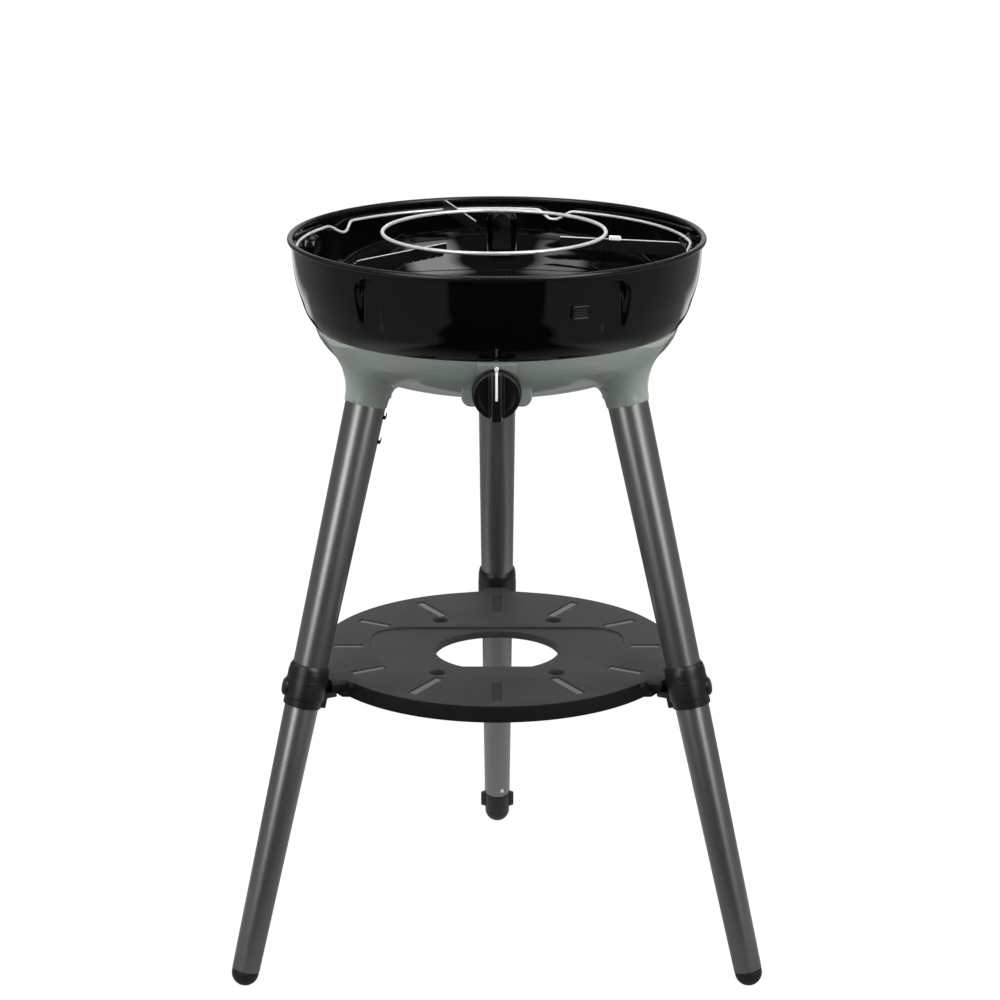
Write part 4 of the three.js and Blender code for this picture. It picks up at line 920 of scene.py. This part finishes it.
def hole_outline(grow=0.0):
    radius, centre, front = 76.6 + grow, -14, -78 - grow
    half = math.acos((centre - front) / radius)
    turns = np.linspace(-math.pi / 2 + half, 1.5 * math.pi - half, 90)
    return [(radius * math.cos(t), centre + radius * math.sin(t)) for t in turns]


def disc_outline(x, y, radius, count=36):
    turns = np.linspace(0, 2 * math.pi, count, endpoint=False)
    return [(x + radius * math.cos(t), y + radius * math.sin(t)) for t in turns]


def shelf():
    plate = solid(prism(shelf_outline(), SHELF_TOP - 6, SHELF_TOP))
    holes = [prism(hole_outline(), 350, 380)] + [prism(disc_outline(x, y, 10), 350, 380) for x, y in HOLES]
    # the sunken area is deepest at its back and slopes up to nothing at its front
    slope = Matrix.Identity(4)
    length = SUNK_BACK - SUNK_FRONT
    slope[2][1], slope[2][3] = -SUNK_DEPTH / length, SUNK_BACK * SUNK_DEPTH / length
    front, back = (SUNK_SIDE, SUNK_FRONT), (SUNK_SIDE, SUNK_BACK, 68)
    recess = rounded([(-SUNK_SIDE, SUNK_FRONT), front, back, (-SUNK_SIDE, SUNK_BACK, 68)], True, 4)
    slots, floors = [], []
    for step in range(12):
        inner = SLOT_INNER[min(step % 6, 6 - step % 6)]
        turn = turned_about_z(30 * step)
        slots.append(moved(prism(rectangle(inner, SLOT_OUTER, -6, 6), SHELF_TOP - 1.3, 380), turn))
        inside = rectangle(inner + 0.3, SLOT_OUTER - 0.3, -5.7, 5.7)
        floors.append(moved(prism(inside, SHELF_TOP - 2.2, SHELF_TOP - 1.2), turn))
    leg_space = lathe(spindle(25.5, 310, 440), 72, False)
    leg_spaces = [moved(leg_space, BOWL_FRAME.inverted() @ leg_frame(a)) for a in LEG_AZIMUTHS.values()]
    sunk = solid(prism(recess, SHELF_TOP - SUNK_DEPTH, 380), slope)
    cutters = [solid(joined(holes)), sunk, solid(joined(slots)), solid(joined(leg_spaces))]
    top = combine(plate, cutters, bevel=0.55, segments=3)
    finished(top, "shelf_top", "shelf_plastic", "stand", BOWL_FRAME, ["shelf"], 30)
    piece("slot_floors", joined(floors), "slot_floor", "stand")
    skirt = rounded([(219.0, SHELF_TOP - 0.5), (220.3, SHELF_TOP - 0.5, 0.5), (220.1, 354.4, 1), (217.2, 354.4, 1),
                     (217, 363.5), (219.0, 363.5)], True)
    piece("shelf_skirt", lathe(skirt, 240), "skirt_black", "stand")
    rim = solid(prism(hole_outline(2.4), SHELF_TOP - 11, SHELF_TOP - 3.2))
    rim = combine(rim, [solid(prism(hole_outline(0.02), 350, 380))], bevel=0.5)
    finished(rim, "shelf_hole_rim", "shelf_plastic", "stand")
    for index, (x, y) in enumerate(HOLES):
        boss = rounded([(10, 361.2, 0.6), (12.4, 361.2, 0.6), (12.4, 370), (10, 370)], True)
        piece(f"shelf_boss_{index}", lathe(boss, 40), "shelf_plastic", "stand",
              BOWL_FRAME @ Matrix.Translation((x, y, 0)))
    # the lugs' lower halves are black and hang down to the hooks
    for side, azimuth in LEG_AZIMUTHS.items():
        lug = rounded(mirrored([(214, -31), (219.5, -26, 5), (222, -15, 4), (236.4, -14.4, 1.5)]), True)
        turned = turned_about_z(azimuth)
        block = solid(prism(lug, 360.2, 372.5), turned)
        to_leg = BOWL_FRAME.inverted() @ leg_frame(azimuth)
        space = solid(lathe(spindle(25.6, 310, 440), 72, False), to_leg)
        block = combine(block, [space], bevel=0.7, segments=3)
        finished(block, f"shelf_lug_{side}", "skirt_black", "stand")
        apron = rounded(mirrored([(213.6, -27.5), (222, -24, 3), (226.6, -20.5, 1.5)]), True)
        finished(slab(apron, 354.6, 361, turned, 0.8, 3), f"lug_apron_{side}", "skirt_black", "stand")


shelf()


# ---------- legs
def tube_shape(bottom, top, wall=1.3):
    outline = rounded([
        (leg_radius(bottom), bottom, 0.5), (leg_radius(top), top, 0.5), (leg_radius(top) - wall, top),
        (leg_radius(bottom) - wall, bottom)], True)
    return lathe(outline, 96)


COLLAR_LOW, COLLAR_TOP = 357, 409  # lengths along the leg
COLLAR_BORE = leg_radius(384) + 0.35
BUTTON_LEVEL = 377
BUTTON_TURNS = {"rear": 0, "left": -20, "right": 20}


def collar_shape():
    return lathe(rounded([
        (COLLAR_BORE, COLLAR_LOW), (22.9, COLLAR_LOW, 0.9), (22.9, 366.6, 0.2), (24.9, 367.6, 0.8),
        (24.9, 389.2, 0.3), (24.5, 389.5, 0.1), (24.6, 399, 4), (23.6, 405.4, 3), (21.5, COLLAR_TOP, 0.6),
        (COLLAR_BORE, COLLAR_TOP)], True), 120)


def collar(side, placed):
    ring = solid(collar_shape())
    boss_place = turned_about_z(BUTTON_TURNS[side]) @ Matrix.Translation((0, 0, BUTTON_LEVEL)) @ OUTWARD
    boss = solid(lathe(rounded([(0, 20), (11, 20), (11, 25.9, 0.9), (0, 25.9)]), 64, False), boss_place)
    # hook that carries the shelf's lug
    level = Matrix.Rotation(LEG_SPLAY, 4, "Y")
    hook_outline = rounded(mirrored([(-129.7, -12, 3), (-112.7, -12)]), True)
    hook = solid(prism(hook_outline, 352.9, 359.7), level)
    ear = prism(rounded(mirrored([(-26.8, -1.6, 0.9), (-18, -1.6)]), True), 358, 371)
    ears = [solid(moved(ear, Matrix.Translation((0, y, 0)))) for y in (-9.5, 9.5)]
    body = combine(ring, [boss, hook, *ears], "UNION")
    bore = solid(lathe(spindle(COLLAR_BORE, 340, 420), 120, False))
    pocket = solid(lathe(spindle(9.3, 22.1, 40), 64, False), boss_place)
    mark = prism(rectangle(18, 30, -5.5, 5.5), 387.2, 388.3)
    marks = [solid(mark, turned_about_z(degrees)) for degrees in (72, -72)]
    body = combine(body, [bore, pocket, *marks])
    finished(body, f"collar_{side}", "black_plastic", "stand", placed, [f"leg_collar_{side}"], 34)
    cap = rounded([(0, 25.4), (8.95, 25.4), (8.95, 27.2, 0.9), (5, 28.05, 4), (0, 28.2)])
    piece(f"release_button_{side}", lathe(cap, 72, False), "black_plastic", f"collar_button_{side}",
          placed @ boss_place, [f"collar_button_{side}"])


FOOT_RADIUS = 16.5


def foot_dome():
    """The lower half of a foot's profile, sunk 0.3 mm into the ground before its sole is cut level."""
    centre = (FOOT_RADIUS - 0.3) / math.cos(LEG_SPLAY)
    turns = [math.radians(t) for t in range(-90, 1, 6)]
    return [(FOOT_RADIUS * math.cos(t), centre + FOOT_RADIUS * math.sin(t)) for t in turns]


def front_foot(side, placed):
    profile = rounded([*foot_dome(), (16.6, 19.4, 0.4), (15.0, 20.0), (15.0, 44), (0, 44)])
    ball = level_sole(solid(lathe(profile, 96, False)))
    finished(ball, f"round_foot_{side}", "black_plastic", f"lower_leg_{side}", placed, [f"foot_{side}"], 40)


def level_sole(foot):
    ground = solid(prism(rectangle(-60, 60, -60, 60), -40, 0), Matrix.Rotation(LEG_SPLAY, 4, "Y"))
    return combine(foot, [ground])


REAR_FOOT_TOP = 48
RIVET_LEVEL = 58


def rear_foot(placed):
    rim = leg_radius(REAR_FOOT_TOP)
    profile = rounded([*foot_dome(), (16.6, 20.5, 2), (rim + 0.4, 46.9, 0.5), (15.2, 47.6), (15.2, 90), (0, 90)])
    ball = solid(lathe(profile, 96, False))
    # two flat wings with chamfered corners
    wing = rounded([(-22.4, 25.5, 1.5), (-15, 22.5, 1), (15, 22.5, 1), (22.4, 25.5, 1.5), (22.4, 43.5, 1.5),
                    (15, 46.4, 1), (-15, 46.4, 1), (-22.4, 43.5, 1.5)], True)
    ball = level_sole(combine(ball, [slab(wing, -3.4, 3.4, ACROSS, 0.8, 3)], "UNION"))
    finished(ball, "winged_foot", "black_plastic", "levelling_foot", placed, ["foot_rear"], 40)
    head = rounded([(0, 0), (2.8, 0), (2.8, 0.6, 0.3), (2.1, 1.4, 0.8), (0, 1.7)])
    rivet_place = placed @ facing_out(202, leg_radius(RIVET_LEVEL) + 0.2, RIVET_LEVEL) @ OUTWARD
    piece("rivet_head", lathe(head, 36, False), "bright_wire", "lower_leg_rear", rivet_place, ["foot_rivet"])


def leg(side, azimuth):
    placed = leg_frame(azimuth)
    lower_end = REAR_FOOT_TOP if side == "rear" else 20.3
    piece(f"upper_tube_{side}", tube_shape(TUBE_JOINT, 775), "tube_metal", "stand", placed, [f"upper_leg_{side}"])
    piece(f"lower_tube_{side}", tube_shape(lower_end, TUBE_JOINT - 0.3), "tube_metal", f"lower_leg_{side}", placed,
          [f"lower_leg_{side}"])
    collar(side, placed)
    if side == "rear":
        rear_foot(placed)
    else:
        front_foot(side, placed)


for side, azimuth in LEG_AZIMUTHS.items():
    leg(side, azimuth)


def leg_clips():
    """Two small black clips on the left leg, for a cable or hose."""
    placed = leg_frame(LEG_AZIMUTHS["left"])
    outline = rounded([
        (-0.4, -4), (2.2, -4, 1), (3.2, -1.6, 0.8), (3.2, 4, 1.2), (1.9, 4, 0.6), (1.9, 0.2, 0.5),
        (-0.4, 0.2)], True)
    for index, along in enumerate((720, 690)):
        clip = slab(outline, -3, 3, UPRIGHT, 0.35)
        there = placed @ facing_out(150, leg_radius(along) + 0.1, along)
        finished(clip, f"leg_clip_{index + 1}", "black_plastic", "stand", there, [f"leg_hook_{index + 1}"])


leg_clips()

# ---------- camera
CAMERA_SIDE, CAMERA_AWAY, CAMERA_HEIGHT = 0.0038, 3.57074, 1.59442  # from the bowl's axis, in metres
CAMERA_TILT = 0.281168  # downwards
SENSOR_WIDTH, FOCAL_LENGTH = 36, 109.3536  # in millimetres
camera = linked("camera", bpy.data.cameras.new("camera"))
camera.location = (CAMERA_SIDE, AXIS_Y - CAMERA_AWAY, CAMERA_HEIGHT)
camera.rotation_euler = (math.pi / 2 - CAMERA_TILT, 0, 0)
camera.data.sensor_width = SENSOR_WIDTH
camera.data.lens = FOCAL_LENGTH
scene.camera = camera

# ---------- floor and studio light
scene.view_settings.view_transform = "Standard"


WALL_SIDES, WALL_RADIUS, WALL_HEIGHT = 48, 15, 15  # of the white wall, in metres


def staging(name, corners, faces, material):
    mesh = bpy.data.meshes.new(name)
    mesh.from_pydata(corners, [], faces)
    mesh.materials.append(material)
    made = linked(name, mesh)
    return made


def sheet(name, half, height, material):
    corners = [(x, y, height) for x, y in rectangle(-half, half, -half, half)]
    return staging(name, corners, [(0, 1, 2, 3)], material)


def pale_floor():
    """The white floor that the camera sees, and a wall of the same white all round it."""
    m = Nodes("pale_floor")
    grain = m.noise(60, 4.0)
    m.glowing(1.03, roughness=m.ramp(grain, 0.3, 0.7, 0.8, 0.9))
    m.set(Normal=m.bump(grain, 0.02, 0.001))
    turns = [2 * math.pi * k / WALL_SIDES for k in range(WALL_SIDES)]
    corners = [
        (WALL_RADIUS * math.cos(t), WALL_RADIUS * math.sin(t), z) for z in (-0.1, WALL_HEIGHT) for t in turns]
    faces = grid_faces(2, WALL_SIDES, False, True).tolist()
    for made in (sheet("floor", 16, -0.0005, m.material), staging("backdrop", corners, faces, m.material)):
        made.visible_diffuse = made.visible_glossy = made.visible_shadow = False


def grey_bounce():
    """What reflections show of the floor: a dim grey, with a darker wedge towards the viewer."""
    m = Nodes("grey_bounce")
    parts = m.place_parts()
    across = m.math("ABSOLUTE", parts["X"], 0.0)
    ahead = m.math("SUBTRACT", AXIS_Y, parts["Y"])
    # the darker wedge towards the viewer
    edge = m.math("MAXIMUM", m.math("MULTIPLY", ahead, 0.49), 0.58)
    lit = m.ramp(m.math("SUBTRACT", across, edge), -0.05, 0.05, 0.0, 1.0)
    lit = m.math("MAXIMUM", lit, m.ramp(ahead, 0.6, -0.4, 0.0, 1.0))
    # beneath the object the floor is brighter
    squares = m.math("ADD", m.math("MULTIPLY", across, across), m.math("MULTIPLY", ahead, ahead))
    away = m.math("POWER", squares, 0.5)
    floor = m.math("ADD", m.ramp(ahead, -0.5, -2.0, 0.2, 0.26), m.ramp(away, 1.0, 0.5, 0.0, 0.36))
    # far behind it is dark, except straight behind and in two patches to the sides
    distant = m.ramp(ahead, -1.7, -2.05, 0.0, 1.0)
    outer = m.math("MULTIPLY", m.ramp(across, 0.95, 1.08, 0.0, 1.0), m.ramp(across, 1.2, 1.85, 1.0, 0.2))
    patches = m.math("MAXIMUM", outer, m.ramp(across, 0.24, 0.16, 0.0, 1.0))
    patches = m.math("MULTIPLY", patches, 1.15)
    floor = m.math("MULTIPLY", floor, m.math("SUBTRACT", 1.0, distant))
    floor = m.math("ADD", floor, m.math("MULTIPLY", distant, patches))
    strength = m.math("ADD", m.math("MULTIPLY", lit, floor), 0.01)
    made = sheet("floor_bounce", 16, -0.001, m.glowing(strength, (0.97, 1, 0.98)))
    made.visible_camera = made.visible_shadow = made.visible_diffuse = False


def soft_bounce():
    """The floor's light on matt surfaces, which no reflection shows."""
    m = Nodes("soft_bounce")
    strength = m.ramp(m.noise(2, 1.0), 0, 1, 0.4, 0.5)
    made = sheet("floor_soft_light", 6, -0.0015, m.glowing(strength))
    made.visible_camera = made.visible_shadow = made.visible_glossy = False


pale_floor()
grey_bounce()
soft_bounce()


LIGHT_TARGET = 0.8  # the height that the lights face, in metres


def aimed(made, azimuth, elevation, distance):
    """Puts a light at an azimuth from the front and an elevation, facing the bowl."""
    turn, lift = math.radians(azimuth), math.radians(elevation)
    target = Vector((0, AXIS_Y, LIGHT_TARGET))
    towards = Vector((math.sin(turn) * math.cos(lift), -math.cos(turn) * math.cos(lift), math.sin(lift)))
    made.location = target + distance * towards
    made.rotation_euler = (-towards).to_track_quat("-Z", "Y").to_euler()
    made.visible_camera = False


def panel(name, azimuth, elevation, distance, width, height, radiance, reflected=False):
    """A soft box that lights matt surfaces."""
    lamp = bpy.data.lights.new(name, "AREA")
    lamp.shape, lamp.size, lamp.size_y = "RECTANGLE", width, height
    lamp.energy = radiance * math.pi * width * height
    made = linked(name, lamp)
    aimed(made, azimuth, elevation, distance)
    made.visible_glossy = reflected


def glow(name, azimuth, elevation, distance, width, height, radiance, plateau=0.5):
    """What reflections show of a soft box: a sheet that fades out towards its edges."""
    m = Nodes(name)
    parts = m.place_parts()
    fades = []
    for axis, half in (("X", width / 2), ("Y", height / 2)):
        fades.append(m.ramp(m.math("ABSOLUTE", parts[axis], 0.0), half * plateau, half, 1.0, 0.0))
    strength = m.math("MULTIPLY", m.math("MULTIPLY", *fades), radiance)
    corners = [(x, y, 0) for x, y in rectangle(-width / 2, width / 2, -height / 2, height / 2)]
    made = staging(name, corners, [(0, 1, 2, 3)], m.glowing(strength))
    aimed(made, azimuth, elevation, distance)
    made.visible_diffuse = made.visible_shadow = False


panel("right_soft_box", 43, 33, 3.0, 1.5, 2.2, 5.5)
panel("left_soft_box", -43, 33, 3.0, 1.5, 2.2, 3.6)
panel("overhead", 180, 80, 2.6, 2.0, 2.0, 1.5, True)
panel("left_side_box", -102, 30, 3.0, 1.4, 2.0, 9.5)
panel("right_side_box", 102, 30, 3.0, 1.4, 2.0, 9.5)
glow("right_box_glow", 43, 33, 3.0, 2.0, 2.9, 5.5)
glow("left_box_glow", -43, 33, 3.0, 2.0, 2.9, 3.4)
glow("right_low_glow", 38, 0, 3.0, 1.8, 1.5, 2.6, 0.3)
glow("left_low_glow", -38, 0, 3.0, 1.8, 1.5, 3.9, 0.3)
glow("right_side_glow", 95, 34, 3.2, 3.0, 2.2, 0.5)
glow("left_side_glow", -95, 34, 3.2, 3.0, 2.2, 0.5)
glow("backdrop_glow", 180, 18, 3.4, 4.6, 1.9, 0.8, 0.75)

world = bpy.data.worlds.new("studio")
world.use_nodes = True
background = world.node_tree.nodes["Background"].inputs
background["Color"].default_value = (0.97, 1, 0.99, 1)
background["Strength"].default_value = 0.12
scene.world = world
